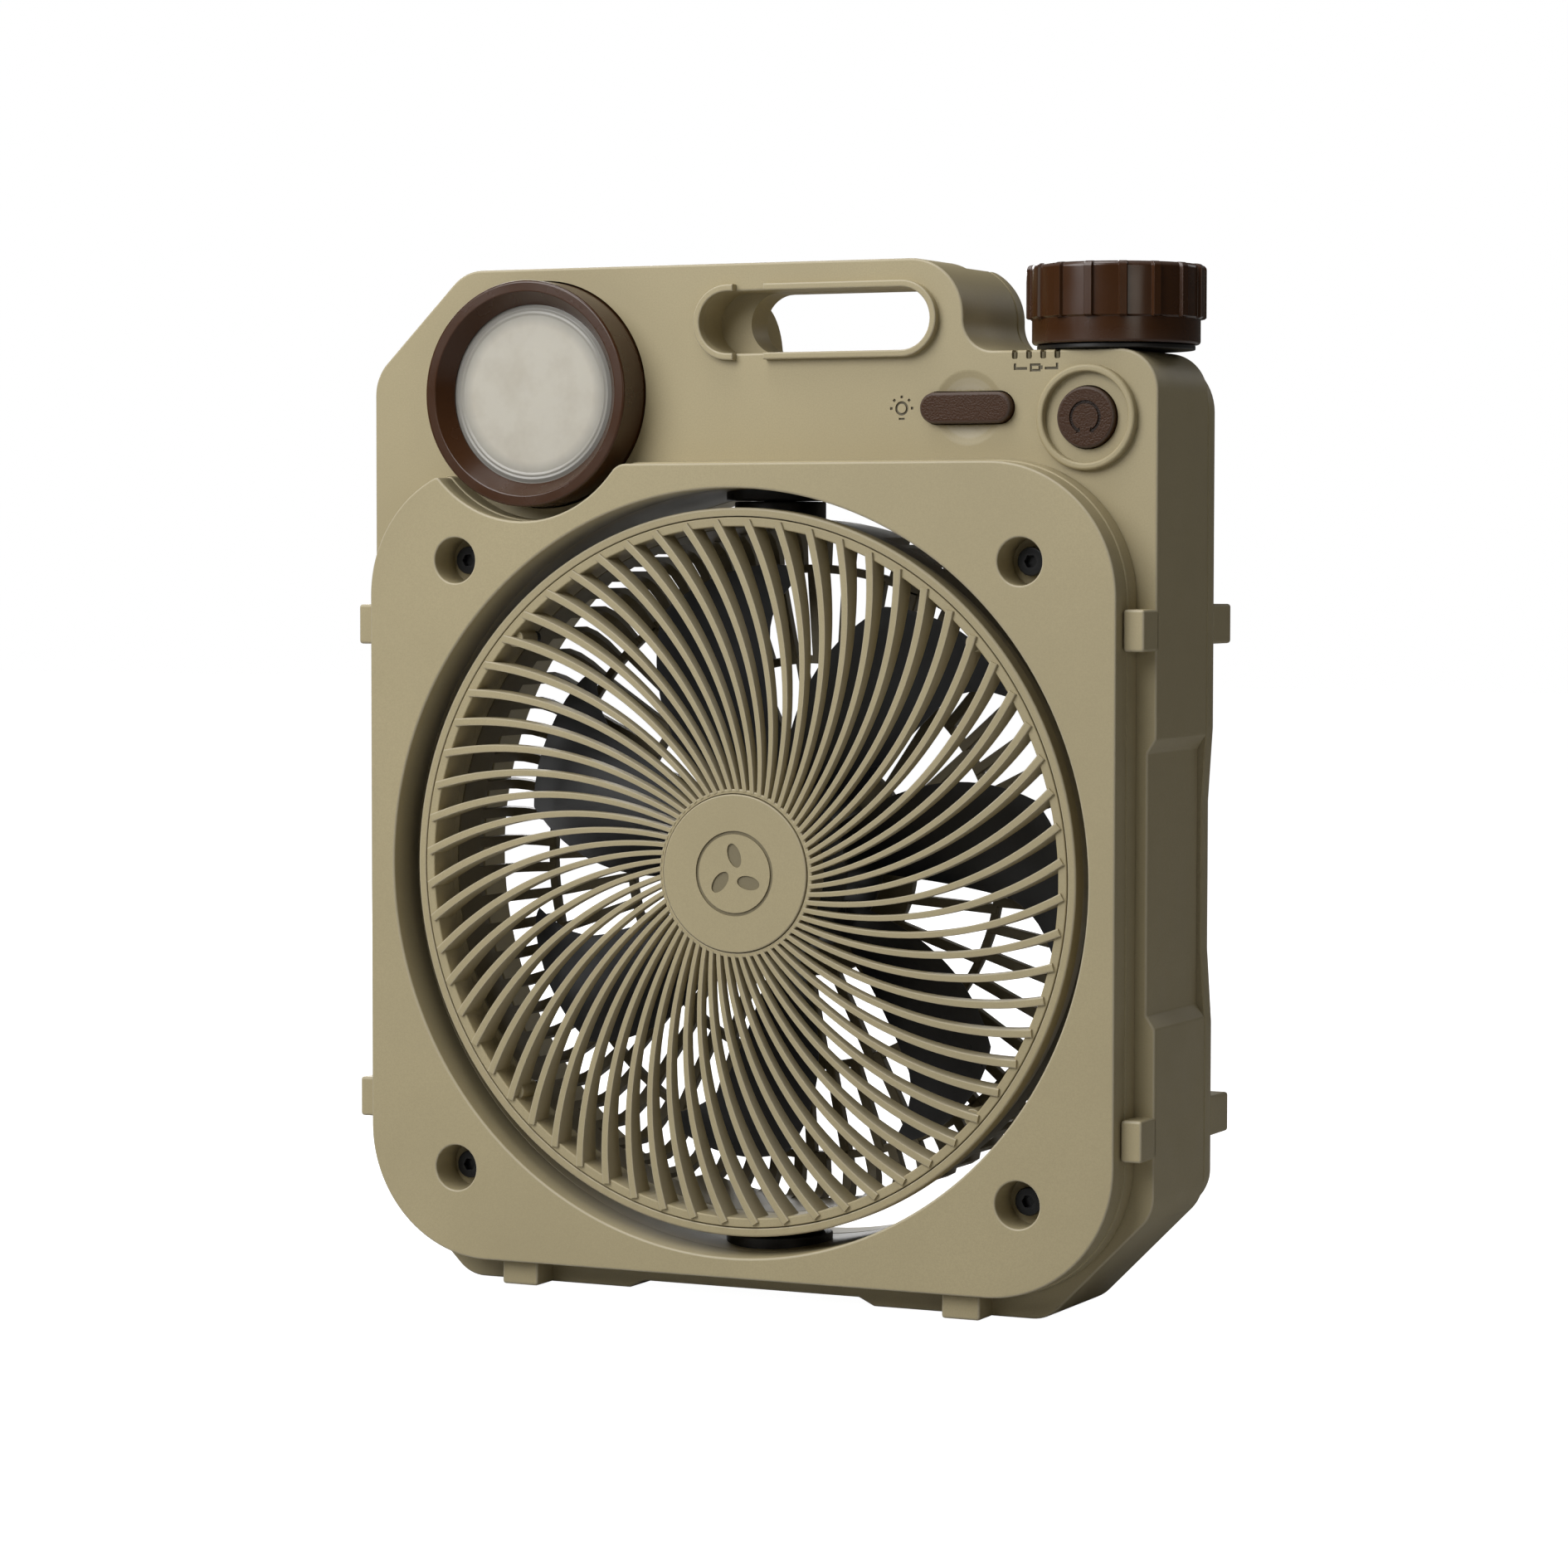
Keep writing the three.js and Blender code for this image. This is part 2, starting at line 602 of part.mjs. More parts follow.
// A forward-swept blade: a flat slab bent onto the blade's plan, pitch and camber.
function blade(turn) {
  const { hubR, tipR, midY, thickness } = BLADES;
  const slabOf = new THREE.BoxGeometry(1, 1, 1, 4, 1, 3);
  const place = slabOf.attributes.position;
  const degrees = Math.PI / 180;
  for (let i = 0; i < place.count; i++) {
    const along = place.getX(i) + 0.5; // 0 at the hub, 1 at the tip
    const across = place.getZ(i) + 0.5; // 0 on the leading edge, 1 on the trailing edge
    const tip = tipR * (1 - 0.065 * across ** 4 - 0.04 * (1 - across) ** 6);
    const radius = hubR - 1.5 + along * (tip - hubR + 1.5);
    const trailing = 32 - 0.0046 * (radius - 26) ** 2;
    const leading = -4.4 - 0.001 * (radius - 30) ** 2 - 0.02 * Math.max(radius - 70, 0) ** 2;
    const angle = (leading + (trailing - leading) * across) * degrees + turn;
    const pitch = 10.5 - 6.5 * along;
    const camber = 11 * across * (1 - across);
    const [x, z] = polar(radius, angle);
    place.setXYZ(i, x, midY + pitch * (1 - 2 * across) + camber + thickness * place.getY(i), z);
  }
  return slabOf;
}

function impeller() {
  const { hubR, count } = BLADES;
  const cup = turned(21, [
    [SHAFT_R + 0.1, 31],
    [SHAFT_R + 0.1, 21.5],
    [20, 21.5],
    [hubR, 26],
    [hubR, 51],
    [hubR - 2, 51],
    [hubR - 2, 27],
    [6, 25],
    [6, 31],
  ]);
  const blades = Array.from({ length: count }, (_, i) => solid(blade((2 * Math.PI * i) / count)));
  return join(cup, blades);
}

const fanMotor = () =>
  turned(16, [
    [SHAFT_R + 0.3, 47],
    [SHAFT_R + 0.3, 40],
    [BEARING_R + GAP, 40],
    [BEARING_R + GAP, 33],
    [8, 33],
    [12, MOTOR.front],
    [MOTOR.radius, 34],
    [MOTOR.radius, MOTOR.back],
    [BEARING_R + GAP, MOTOR.back],
    [BEARING_R + GAP, 52],
    [SHAFT_R + 0.3, 52],
  ]);
const bearing = (front) =>
  turned(16, [
    [SHAFT_R + 0.09, front + 4],
    [SHAFT_R + 0.09, front],
    [BEARING_R, front],
    [BEARING_R, front + 4],
  ]);

// ---------- the assembly ----------
function casePieces() {
  const pieces = [
    mesh("front_panel", frontPanel(), khaki()),
    mesh("main_housing", mainHousing(), khaki()),
    mesh("rear_cover", rearCover(), khaki()),
  ];
  fourCorners.forEach(([sx, sz], i) => {
    const [x, z] = [sx * SCREW.at, sz * SCREW.at];
    const { recessDepth, headHeight, headR, shankR } = SCREW;
    const front = capScrew(x, z, recessDepth - headHeight - GAP, 1, headR, headHeight, shankR, 22);
    const rearHead = CASE.rear - 5 + headHeight + GAP - 0.1;
    const rear = capScrew(x, z, rearHead, -1, headR, headHeight - 0.1, shankR, 26);
    pieces.push(mesh("front_screw_" + (i + 1), front, black()));
    pieces.push(mesh("rear_screw_" + (i + 1), rear, black()));
  });
  return pieces;
}

function lampPieces() {
  const { x, z, lensR, back } = LAMP;
  return [
    mesh("lamp_bezel", lampBezel(), brown()),
    mesh("lamp_lens", drum(x, z, lensR, 7, 9.7, 32), clear()),
    mesh("lamp_reflector", lampReflector(), white()),
    mesh("lamp_led_board", drum(x, z, 26.2, back - 0.8, back + 0.8, 24), green()),
  ];
}

function controlPieces() {
  const { x, y } = KNOB;
  const under = CASE.shoulder - WALL;
  const light = pushButton(
    stadium(LIGHT.x, LIGHT.z, LIGHT.halfLength, LIGHT.halfHeight),
    stadium(LIGHT.x, LIGHT.z, LIGHT.halfLength + 1.2, LIGHT.halfHeight + 1.2),
    LIGHT.x,
    LIGHT.z,
    LIGHT.front,
  );
  const swing = pushButton(
    circle(SWING.x, SWING.z, SWING.radius),
    circle(SWING.x, SWING.z, SWING.radius + 1.2),
    SWING.x,
    SWING.z,
    SWING.front,
  );
  const fingers = NOTCHES.map((nx) =>
    block(nx - 0.45, nx + 0.45, CASE.front + 0.3, CASE.front + 4, under - 0.6, CASE.shoulder - 0.6),
  );
  const pipeBar = block(NOTCHES[0] - 1, NOTCHES[3] + 1, CASE.front + 3.3, 20.2, 148, under - GAP);
  const lightPipe = cut(join(pipeBar, fingers), block(80, 105, CASE.front + 2.9, 22, under - GAP, 156));
  return [
    mesh("speed_knob", speedKnob(), brown()),
    mesh("knob_base_ring", cut(post(x, y, 23.2, 155.2, 156.5, 28), post(x, y, 5, 155, 157)), black()),
    mesh("potentiometer_shaft", post(x, y, 3, 144, 170, 16), steel()),
    mesh(
      "potentiometer",
      cut(
        join(block(x - 8, x + 8, y - 7, y + 8, 142, 151.6), post(x, y, 3.7, 151, 154.4, 20)),
        post(x, y, 3.09, 143.7, 155, 16),
      ),
      steel(),
    ),
    mesh("light_button", light, brown()),
    mesh("swing_button", swing, brown()),
    mesh("light_switch", tactSwitch(LIGHT.x, LIGHT.z), black()),
    mesh("swing_switch", tactSwitch(SWING.x, SWING.z), black()),
    mesh("charge_light_pipe", lightPipe, clear()),
    mesh("control_board", block(54, 124, 25.8, 27.4, 122, 147), green()),
  ];
}

function powerPieces() {
  const { radius, length, x, y, zs } = CELL;
  const rear = CASE.rear;
  const cover = block(PORT.x - 8, PORT.x + 8, rear + GAP, rear + 2, PORT.z - 4.5, PORT.z + 4.5);
  const cells = zs.map((z, i) => {
    const cell = new THREE.CylinderGeometry(radius, radius, length, 24);
    return mesh("battery_cell_" + (i + 1), solid(cell.rotateZ(Math.PI / 2).translate(x, y, z)), blue());
  });
  const trayZ = [118.8, 175.3];
  const tray = join(
    block(-101, -31, 30, 34.4, ...trayZ),
    block(-103, -98.9, 30, 54, trayZ[0], 170),
    block(-33.1, -30, 30, 54, ...trayZ),
  );
  return [
    ...cells,
    mesh("battery_tray", tray, black()),
    mesh("charge_board", block(PORT.x - 12, PORT.x + 12, 62, 63.4, PORT.z - 12, PORT.z + 8), green()),
    mesh("usb_socket", usbSocket(), steel()),
    mesh("usb_cover", cover, black()),
  ];
}

const usbSocket = () =>
  cut(
    block(PORT.x - 4.6, PORT.x + 4.6, 63.7, 71, PORT.z - 1.7, PORT.z + 1.7),
    block(PORT.x - 4.1, PORT.x + 4.1, 65, 72, PORT.z - 1.2, PORT.z + 1.2),
  );

function swingPieces() {
  const top = GEAR.z + GEAR.height;
  return [
    mesh("upper_pivot_bush", pivotBush(1), black()),
    mesh("lower_pivot_bush", pivotBush(-1), black()),
    mesh(
      "swing_motor",
      cut(
        post(pinionX, AXIS_Y, 14, top + 1.2, top + 20, 24),
        post(pinionX, AXIS_Y, 1.59, top, top + 15, 16),
      ),
      steel(),
    ),
    mesh("swing_motor_shaft", post(pinionX, AXIS_Y, 1.5, GEAR.z - 0.6, top + 14, 16), steel()),
    mesh("swing_pinion", gear(pinionX, GEAR.pinionTeeth, 1.8, Math.PI + Math.PI / GEAR.pinionTeeth), white()),
    mesh("swing_gear", gear(0, GEAR.wheelTeeth, PIVOT.pinR + GAP, 0), white()),
    mesh("upper_trunnion", trunnion(1, 126), black()),
    mesh("lower_trunnion", trunnion(-1, 123.4), black()),
  ];
}

function headPieces() {
  const pieces = [
    mesh("front_grille", frontGrille(), khaki()),
    mesh("hub_cap", hubCap(), khaki()),
    mesh("head_rim", headRim(), khaki()),
    mesh("rear_grille", rearGrille(), khaki()),
    mesh("impeller", impeller(), charcoal()),
    mesh("motor_shaft", drum(0, 0, SHAFT_R, 14.5, 57, 16), steel()),
    mesh("impeller_nut", cut(drum(0, 0, 4.2, 17.4, 21.2, 6), drum(0, 0, SHAFT_R + 0.1, 17, 22, 16)), brass()),
    mesh("fan_motor", fanMotor(), steel()),
    mesh("front_bearing", bearing(34.5), brass()),
    mesh("rear_bearing", bearing(53), brass()),
  ];
  grillePosts.forEach(([x, z], i) => {
    pieces.push(mesh("grille_screw_" + (i + 1), capScrew(x, z, 19.6, -1, 2.2, 2.6, 1, 8), black()));
  });
  return pieces;
}

// The object stands on the origin: its box is centred on X and Y, and its base is at Z = 0.
const right = KNOB.x + KNOB.ribR * Math.cos(KNOB_RIBS.halfAngle);
const assembly = new THREE.Group();
assembly.position.set((CASE.halfWidth - right) / 2, -LUG.back / 2, -CASE.bottom);
assembly.add(...casePieces(), ...lampPieces(), ...controlPieces(), ...powerPieces());
assembly.add(...swingPieces(), ...headPieces());

const boxFan = new THREE.Group();
boxFan.add(assembly);
export default boxFan;
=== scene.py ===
"""Looks of the portable box fan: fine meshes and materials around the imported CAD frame.

Lengths are millimetres in the part's design frame: X to the right, Y to the back, Z up, from the centre of
the opening on the front panel's face. Shell.build() takes them to metres in the row frame.
"""
import json
import math

import bmesh
import bpy
from mathutils import Matrix, Vector
from mathutils.geometry import tessellate_polygon


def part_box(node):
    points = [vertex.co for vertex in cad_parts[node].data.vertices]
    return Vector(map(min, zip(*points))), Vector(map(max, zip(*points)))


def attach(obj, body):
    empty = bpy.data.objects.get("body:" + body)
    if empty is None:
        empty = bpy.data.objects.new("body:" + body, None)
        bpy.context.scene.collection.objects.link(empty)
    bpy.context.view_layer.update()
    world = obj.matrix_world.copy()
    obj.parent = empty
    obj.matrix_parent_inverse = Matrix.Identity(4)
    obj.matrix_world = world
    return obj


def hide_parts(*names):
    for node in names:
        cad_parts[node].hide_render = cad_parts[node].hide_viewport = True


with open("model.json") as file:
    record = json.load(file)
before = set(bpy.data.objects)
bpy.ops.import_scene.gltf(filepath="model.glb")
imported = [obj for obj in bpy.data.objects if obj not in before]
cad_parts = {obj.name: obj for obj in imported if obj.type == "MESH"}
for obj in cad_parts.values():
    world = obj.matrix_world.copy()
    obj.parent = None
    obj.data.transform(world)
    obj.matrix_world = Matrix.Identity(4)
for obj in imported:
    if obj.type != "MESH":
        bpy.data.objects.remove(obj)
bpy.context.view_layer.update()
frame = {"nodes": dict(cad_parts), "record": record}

MM = 0.001

# ---------- driving dimensions ----------
HALF_WIDTH = 130.1
BOTTOM = -129
TOP = 182.5
SHOULDER = 154.9
STEP_X = 69
CASE_FRONT = 15
SEAM = 56.8
CASE_REAR = 71.7
REAR_ROUND = 11.4
OPENING_R = 115
PANEL_HALF = 123.3
PANEL_BOTTOM = -121.3
PANEL_TOP = 122.5
SCREW_AT = 93.4
LUG_AT = 73.6
SLOT_X, SLOT_Z, SLOT_LENGTH, SLOT_HEIGHT = 21.6, 164.8, 37.8, 9.3  # the hand slot's centre and half sizes
BAR_LEFT, BAR_BACK = -6.1, 39  # left end of the room behind the handle bar, and the bar's rear face
LAMP_X, LAMP_Z, LAMP_R = -70, 144, 34.3
AXIS_Y = 35.85
KNOB_X, KNOB_RIBS = 109, 16
LIGHT_X, LIGHT_Z = 70.8, 138.3
SWING_X, SWING_Z = 108.5, 135.1
NOTCHES = (85.5, 89.95, 94.4, 98.85)
PORT_X, PORT_Z = 96, 136
RIBS = 64
RIB_ARC_R, RIB_CENTRE_R = 114.9, 111.4
BLADES = 7
CORNERS = ((-1, 1), (1, 1), (-1, -1), (1, -1))
HOUSING = (42, 38, 2.6, 0)  # ends and flat of the shallow step in each side, its depth, and what corners lose
COVER = (44, 22, 1.4, 2.4)
POSTS = [(sx * 76.2, sz * 69.6) for sx, sz in CORNERS]

case_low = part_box("main_housing")[0]
ORIGIN = Vector((case_low.x + HALF_WIDTH * MM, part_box("front_panel")[0].y, case_low.z - BOTTOM * MM))


# ---------- outlines: lists of (x, z, worn) points in anticlockwise order ----------
def polar(radius, degrees):
    angle = math.radians(degrees)
    return radius * math.cos(angle), radius * math.sin(angle)


def circle(x, z, radius, sides=128):
    spots = (polar(radius, 360 * i / sides) for i in range(sides))
    return [(x + dx, z + dz, 0) for dx, dz in spots]


def stadium(x, z, half_length, half_height, steps=20):
    reach = half_length - half_height
    points = []
    for side, start in ((1, -90), (-1, 90)):
        for k in range(steps + 1):
            dx, dz = polar(half_height, start + 180 * k / steps)
            points.append((x + side * reach + dx, z + dz, 0))
    return points


def cross(a, b):
    return a.x * b.y - a.y * b.x


def rounded(corners, step=9):
    """Corners (x, z, fillet radius) as an outline with a round stretch at each corner."""
    points = []
    for i, (x, z, radius) in enumerate(corners):
        corner = Vector((x, z))
        before = (Vector(corners[i - 1][:2]) - corner).normalized()
        after = (Vector(corners[(i + 1) % len(corners)][:2]) - corner).normalized()
        half = before.angle(after) / 2
        turn = math.pi - 2 * half
        if radius == 0:
            points.append((x, z, 0))
            continue
        convex = 1 if cross(after, before) > 0 else -1
        centre = corner + (before + after).normalized() * radius / math.sin(half)
        start = corner + before * radius / math.tan(half) - centre
        steps = max(2, math.ceil(math.degrees(turn) / step))
        for k in range(steps + 1):
            spot = centre + Matrix.Rotation(convex * turn * k / steps, 2) @ start
            # convex corners get paled edge values: wear and a painted highlight
            rub_highlight_shade = math.sin(math.pi * k / steps) if convex > 0 else 0
            points.append((spot.x, spot.y, rub_highlight_shade))
    return points


def inset(corners, distance, base_share=1):
    """The same corners with every side moved inwards, those along the base only base_share as far."""
    count = len(corners)
    sides = []
    for i in range(count):
        a, b = Vector(corners[i][:2]), Vector(corners[(i + 1) % count][:2])
        along = (b - a).normalized()
        share = base_share if along.x > 0.8 else 1
        sides.append((a + Vector((-along.y, along.x)) * distance * share, along))
    moved = []
    for i, (_, _, radius) in enumerate(corners):
        (before, along_before), (after, along_after) = sides[i - 1], sides[i]
        turn = cross(along_before, along_after)
        spot = before + along_before * (cross(after - before, along_after) / turn)
        moved.append((spot.x, spot.y, max(radius - math.copysign(distance, turn), 0.5)))
    return moved


def offset(points, distance):
    """A dense outline moved inwards by a small distance."""
    count = len(points)
    moved = []
    for i in range(count):
        here = Vector(points[i][:2])
        back = (here - Vector(points[i - 1][:2])).normalized()
        ahead = (Vector(points[(i + 1) % count][:2]) - here).normalized()
        normal = Vector((-back.y - ahead.y, back.x + ahead.x)).normalized()
        spot = here + normal * distance / max(normal.dot(Vector((-back.y, back.x))), 0.3)
        moved.append((spot.x, spot.y, 0))
    return moved


def bitten(points, centre, radius, corner_reach):
    """An outline with the part inside a circle replaced by the circle's arc, and its new corners softened."""
    middle = Vector(centre)
    inside = [(Vector(p[:2]) - middle).length < radius for p in points]
    first = next(i for i in range(len(points)) if inside[i] and not inside[i - 1])
    kept = [points[(first + i) % len(points)] for i in range(len(points))]
    kept = [p for p in kept if (Vector(p[:2]) - middle).length >= radius]

    def crossing(out, within):
        low, high = Vector(out[:2]), Vector(within[:2])
        for _ in range(40):
            half = (low + high) / 2
            low, high = (half, high) if (half - middle).length > radius else (low, half)
        return low

    count = len(points)
    last = next(i for i in range(count) if inside[i] and not inside[(i + 1) % count])
    enter = crossing(points[first - 1], points[first])
    leave = crossing(points[(last + 1) % count], points[last])
    start, end = (math.degrees(math.atan2(p.y - middle.y, p.x - middle.x)) for p in (enter, leave))
    sweep = (start - end) % 360
    steps = int(sweep / 4)
    arc = [middle + Vector(polar(radius, start - sweep * k / steps)) for k in range(1, steps)]

    def softened(a, corner, b, reach):
        first_end = corner + (a - corner).normalized() * reach
        last_end = corner + (b - corner).normalized() * reach
        spots = []
        for k in range(6):
            t = k / 5
            spots.append(first_end * (1 - t) ** 2 + corner * 2 * t * (1 - t) + last_end * t ** 2)
        return spots

    near, far = corner_reach
    path = softened(Vector(kept[-1][:2]), enter, arc[0], near)
    path += [p for p in arc if (p - enter).length > near and (p - leave).length > far]
    path += softened(arc[-1], leave, Vector(kept[0][:2]), far)
    return kept + [(p.x, p.y, 0) for p in path]


# ---------- meshes ----------
class Shell:
    """A closed mesh made from rings of points. Every point also holds a shade value: from 0 to 1 on an edge
    that is paled for wear and as a painted highlight, below 0 painted shade, -1 at the floor of an engraved
    mark."""

    def __init__(self):
        self.points = []
        self.rub_highlight_shade = []
        self.faces = []

    def add(self, point, rub_highlight_shade=0.0):
        self.points.append(point)
        self.rub_highlight_shade.append(rub_highlight_shade)
        return len(self.points) - 1

    def ring(self, outline, y, rub_highlight_shade=0.0):
        return [self.add((p[0], y, p[1]), rub_highlight_shade) for p in outline]

    def bridge(self, *rings, closed=True):
        for a, b in zip(rings, rings[1:]):
            count = len(a)
            for i in range(count if closed else count - 1):
                j = (i + 1) % count
                self.faces.append((a[i], a[j], b[j], b[i]))

    def cap(self, outer, *holes):
        """A flat face between an outer ring and the rings of its holes."""
        loops = [outer, *holes]
        flat = [i for loop in loops for i in loop]
        polygons = [[Vector((self.points[i][0], self.points[i][2], 0)) for i in loop] for loop in loops]
        for triangle in tessellate_polygon(polygons):
            self.faces.append(tuple(flat[i] for i in triangle))

    def lip(self, outline_at, y, end, radius, steps=4, dark=0):
        """A wall from a rounded edge on the face at depth y to depth end. outline_at(d) is the wall's outline
        moved d into the material; the rounded edge is paled for wear and as a painted highlight. Gives the
        ring on the face and the ring at the wall's end, where a negative dark paints shade."""
        way = math.copysign(1, end - y)
        rings = []
        for k in range(steps + 1):
            t = math.pi / 2 * k / steps
            outline = outline_at(radius * (1 - math.sin(t)))
            rings.append(self.ring(outline, y + way * radius * (1 - math.cos(t)), math.sin(2 * t)))
        rings.append(self.ring(outline_at(0), end, dark))
        self.bridge(*rings)
        return rings[0], rings[-1]

    def pad(self, outline_at, front, back, radius, holes=()):
        """A closed block with rounded front and rear edges."""
        front_face, front_end = self.lip(outline_at, front, (front + back) / 2, radius)
        back_face, back_end = self.lip(outline_at, back, (front + back) / 2, radius)
        self.bridge(front_end, back_end)
        self.cap(front_face, *holes)
        self.cap(back_face)

    def block(self, x0, x1, y0, y1, z0, z1, radius=0.8):
        corners = [(x0, z0, radius), (x1, z0, radius), (x1, z1, radius), (x0, z1, radius)]
        self.pad(lambda d: rounded(inset(corners, d), 30), y0, y1, radius)

    def pocket(self, outline, y, depth, dark=0):
        """A straight-sided pocket in the face at depth y; a negative dark paints shade on its floor. Gives
        the ring that its face leaves out.
        """
        rim = self.ring(outline, y)
        floor = self.ring(outline, y + depth, dark)
        self.bridge(rim, floor)
        self.cap(floor)
        return rim

    def turned(self, profile, x=0, z=0, sides=96):
        """A closed profile of (radius, y, shade value) points turned about the Y axis through x and z; the
        value pales edges for wear and as a painted highlight.
        """
        rings = [self.ring(circle(x, z, max(r, 1e-4), sides), y, rub_highlight_shade) for r, y, rub_highlight_shade in profile]
        self.bridge(*rings, rings[0])

    def stand(self, x, y):
        """Turns the shell from the Y axis to the Z axis at x and y, with its front face on top."""
        self.points = [(x + u, y + v, -h) for u, h, v in self.points]

    def build(self, name, material, body, replaced=(), slot=None, sharp=38):
        mesh = bpy.data.meshes.new(name)
        mesh.from_pydata([ORIGIN + Vector(p) * MM for p in self.points], [], self.faces)
        mesh.attributes.new("rub_highlight_shade", "FLOAT", "POINT").data.foreach_set("value", self.rub_highlight_shade)
        bm = bmesh.new()
        bm.from_mesh(mesh)
        bmesh.ops.remove_doubles(bm, verts=bm.verts, dist=2e-6)
        bmesh.ops.dissolve_degenerate(bm, edges=bm.edges, dist=1e-7)
        bmesh.ops.recalc_face_normals(bm, faces=bm.faces)
        join_flats(bm)
        bm.to_mesh(mesh)
        bm.free()
        piece = bpy.data.objects.new(name, mesh)
        bpy.context.scene.collection.objects.link(piece)
        if material is None:
            return piece
        mesh.materials.append(material)
        shade(piece, sharp)
        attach(piece, body)
        if replaced:
            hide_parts(*replaced)
        return piece


def join_flats(bm):
    """Joins coplanar faces, so that long thin ones don't show in the shading."""
    bmesh.ops.dissolve_limit(bm, angle_limit=math.radians(0.2), verts=[], edges=bm.edges)


def shade(piece, sharp):
    piece.data.shade_smooth()
    piece.data.set_sharp_from_angle(angle=math.radians(sharp))
    weighted = piece.modifiers.new("flat faces stay flat", "WEIGHTED_NORMAL")
    weighted.keep_sharp = True


def carve(piece, cutter, sharp=38):
    """Takes a cutter's volume out of a piece, for good."""
    weighted = piece.modifiers.get("flat faces stay flat")
    if weighted:
        piece.modifiers.remove(weighted)
    cut = piece.modifiers.new("cut", "BOOLEAN")
    cut.operation = "DIFFERENCE"
    cut.solver = "EXACT"
    cut.object = cutter
    bpy.context.view_layer.update()
    result = bpy.data.meshes.new_from_object(piece.evaluated_get(bpy.context.evaluated_depsgraph_get()))
    bm = bmesh.new()
    bm.from_mesh(result)
    join_flats(bm)
    bm.to_mesh(result)
    bm.free()
    piece.modifiers.clear()
    piece.data = result
    bpy.data.objects.remove(cutter)
    shade(piece, sharp)


# ---------- materials ----------
class Nodes:
    """Short calls for making and joining a material's nodes."""

    def __init__(self, name):
        self.material = bpy.data.materials.new(name)
        self.material.use_nodes = True
        self.tree = self.material.node_tree
        self.shader = self.tree.nodes["Principled BSDF"]
        self.place = self.tree.nodes.new("ShaderNodeTexCoord").outputs["Object"]

    def join(self, output, target):
        self.tree.links.new(output, target)

    def noise(self, scale, detail=2.0, rough=0.5, place=None):
        node = self.tree.nodes.new("ShaderNodeTexNoise")
        node.inputs["Scale"].default_value = scale
        node.inputs["Detail"].default_value = detail
        node.inputs["Roughness"].default_value = rough
        self.join(place or self.place, node.inputs["Vector"])
        return node.outputs["Fac"]

    def remap(self, value, low, high, from_low=0.3, from_high=0.7):
        node = self.tree.nodes.new("ShaderNodeMapRange")
        node.inputs["From Min"].default_value = from_low
        node.inputs["From Max"].default_value = from_high
        node.inputs["To Min"].default_value = low
        node.inputs["To Max"].default_value = high
        self.join(value, node.inputs["Value"])
        return node.outputs["Result"]

    def mix(self, factor, first, second):
        node = self.tree.nodes.new("ShaderNodeMix")
        node.data_type = "RGBA"
        self.join(factor, node.inputs["Factor"])
        for colour, socket in ((first, node.inputs["A"]), (second, node.inputs["B"])):
            if isinstance(colour, tuple):
                socket.default_value = (*colour, 1)
            else:
                self.join(colour, socket)
        return node.outputs["Result"]

    def bump(self, height, distance, strength=1.0, normal=None):
        node = self.tree.nodes.new("ShaderNodeBump")
        node.inputs["Strength"].default_value = strength
        node.inputs["Distance"].default_value = distance
        self.join(height, node.inputs["Height"])
        if normal:
            self.join(normal, node.inputs["Normal"])
        return node.outputs["Normal"]

    def attribute(self, name):
        node = self.tree.nodes.new("ShaderNodeAttribute")
        node.attribute_name = name
        return node.outputs["Fac"]


def scaled(colour, factor):
    return tuple(min(c * factor, 1) for c in colour)


def plastic(name, colour, roughness, grain=0.45, grain_depth=0.02, patches=0.05, rub_highlight_strength=0.18, metallic=0.0,
            gloss=0.5):
    """Moulded plastic: cloudy colour, a fine eroded grain, uneven gloss, edges paled for wear and as a
    painted highlight, and painted shade where the point value is below zero.
    grain is the grain's size and grain_depth its depth, in millimetres."""
    n = Nodes(name)
    clouds = n.noise(18, 3)
    specks = n.noise(1000 / grain, 1)
    tint = n.mix(n.remap(clouds, 0, 1), scaled(colour, 1 - patches), scaled(colour, 1 + patches))
    tint = n.mix(n.remap(specks, 0, 0.5), tint, scaled(colour, 0.86))
    rub_highlight_shade = n.attribute("rub_highlight_shade")
    # pale edge colour: wear and a painted highlight
    pale = tuple(c + (1 - c) * 0.35 for c in colour)
    rub_and_highlight_mix = n.mix(n.remap(rub_highlight_shade, 0, rub_highlight_strength, 0.2, 1.0), tint, pale)
    # values below zero darken towards a third of the colour: painted shade
    n.join(n.mix(n.remap(rub_highlight_shade, 1, 0, -1, 0), rub_and_highlight_mix, scaled(colour, 0.3)), n.shader.inputs["Base Color"])
    n.join(n.remap(n.noise(60, 4), roughness - 0.05, roughness + 0.06), n.shader.inputs["Roughness"])
    waves = n.bump(n.noise(35, 2), 0.08 * MM, 0.6)
    n.join(n.bump(specks, grain_depth * MM, 0.8, waves), n.shader.inputs["Normal"])
    n.shader.inputs["Metallic"].default_value = metallic
    n.shader.inputs["Specular IOR Level"].default_value = gloss
    return n.material


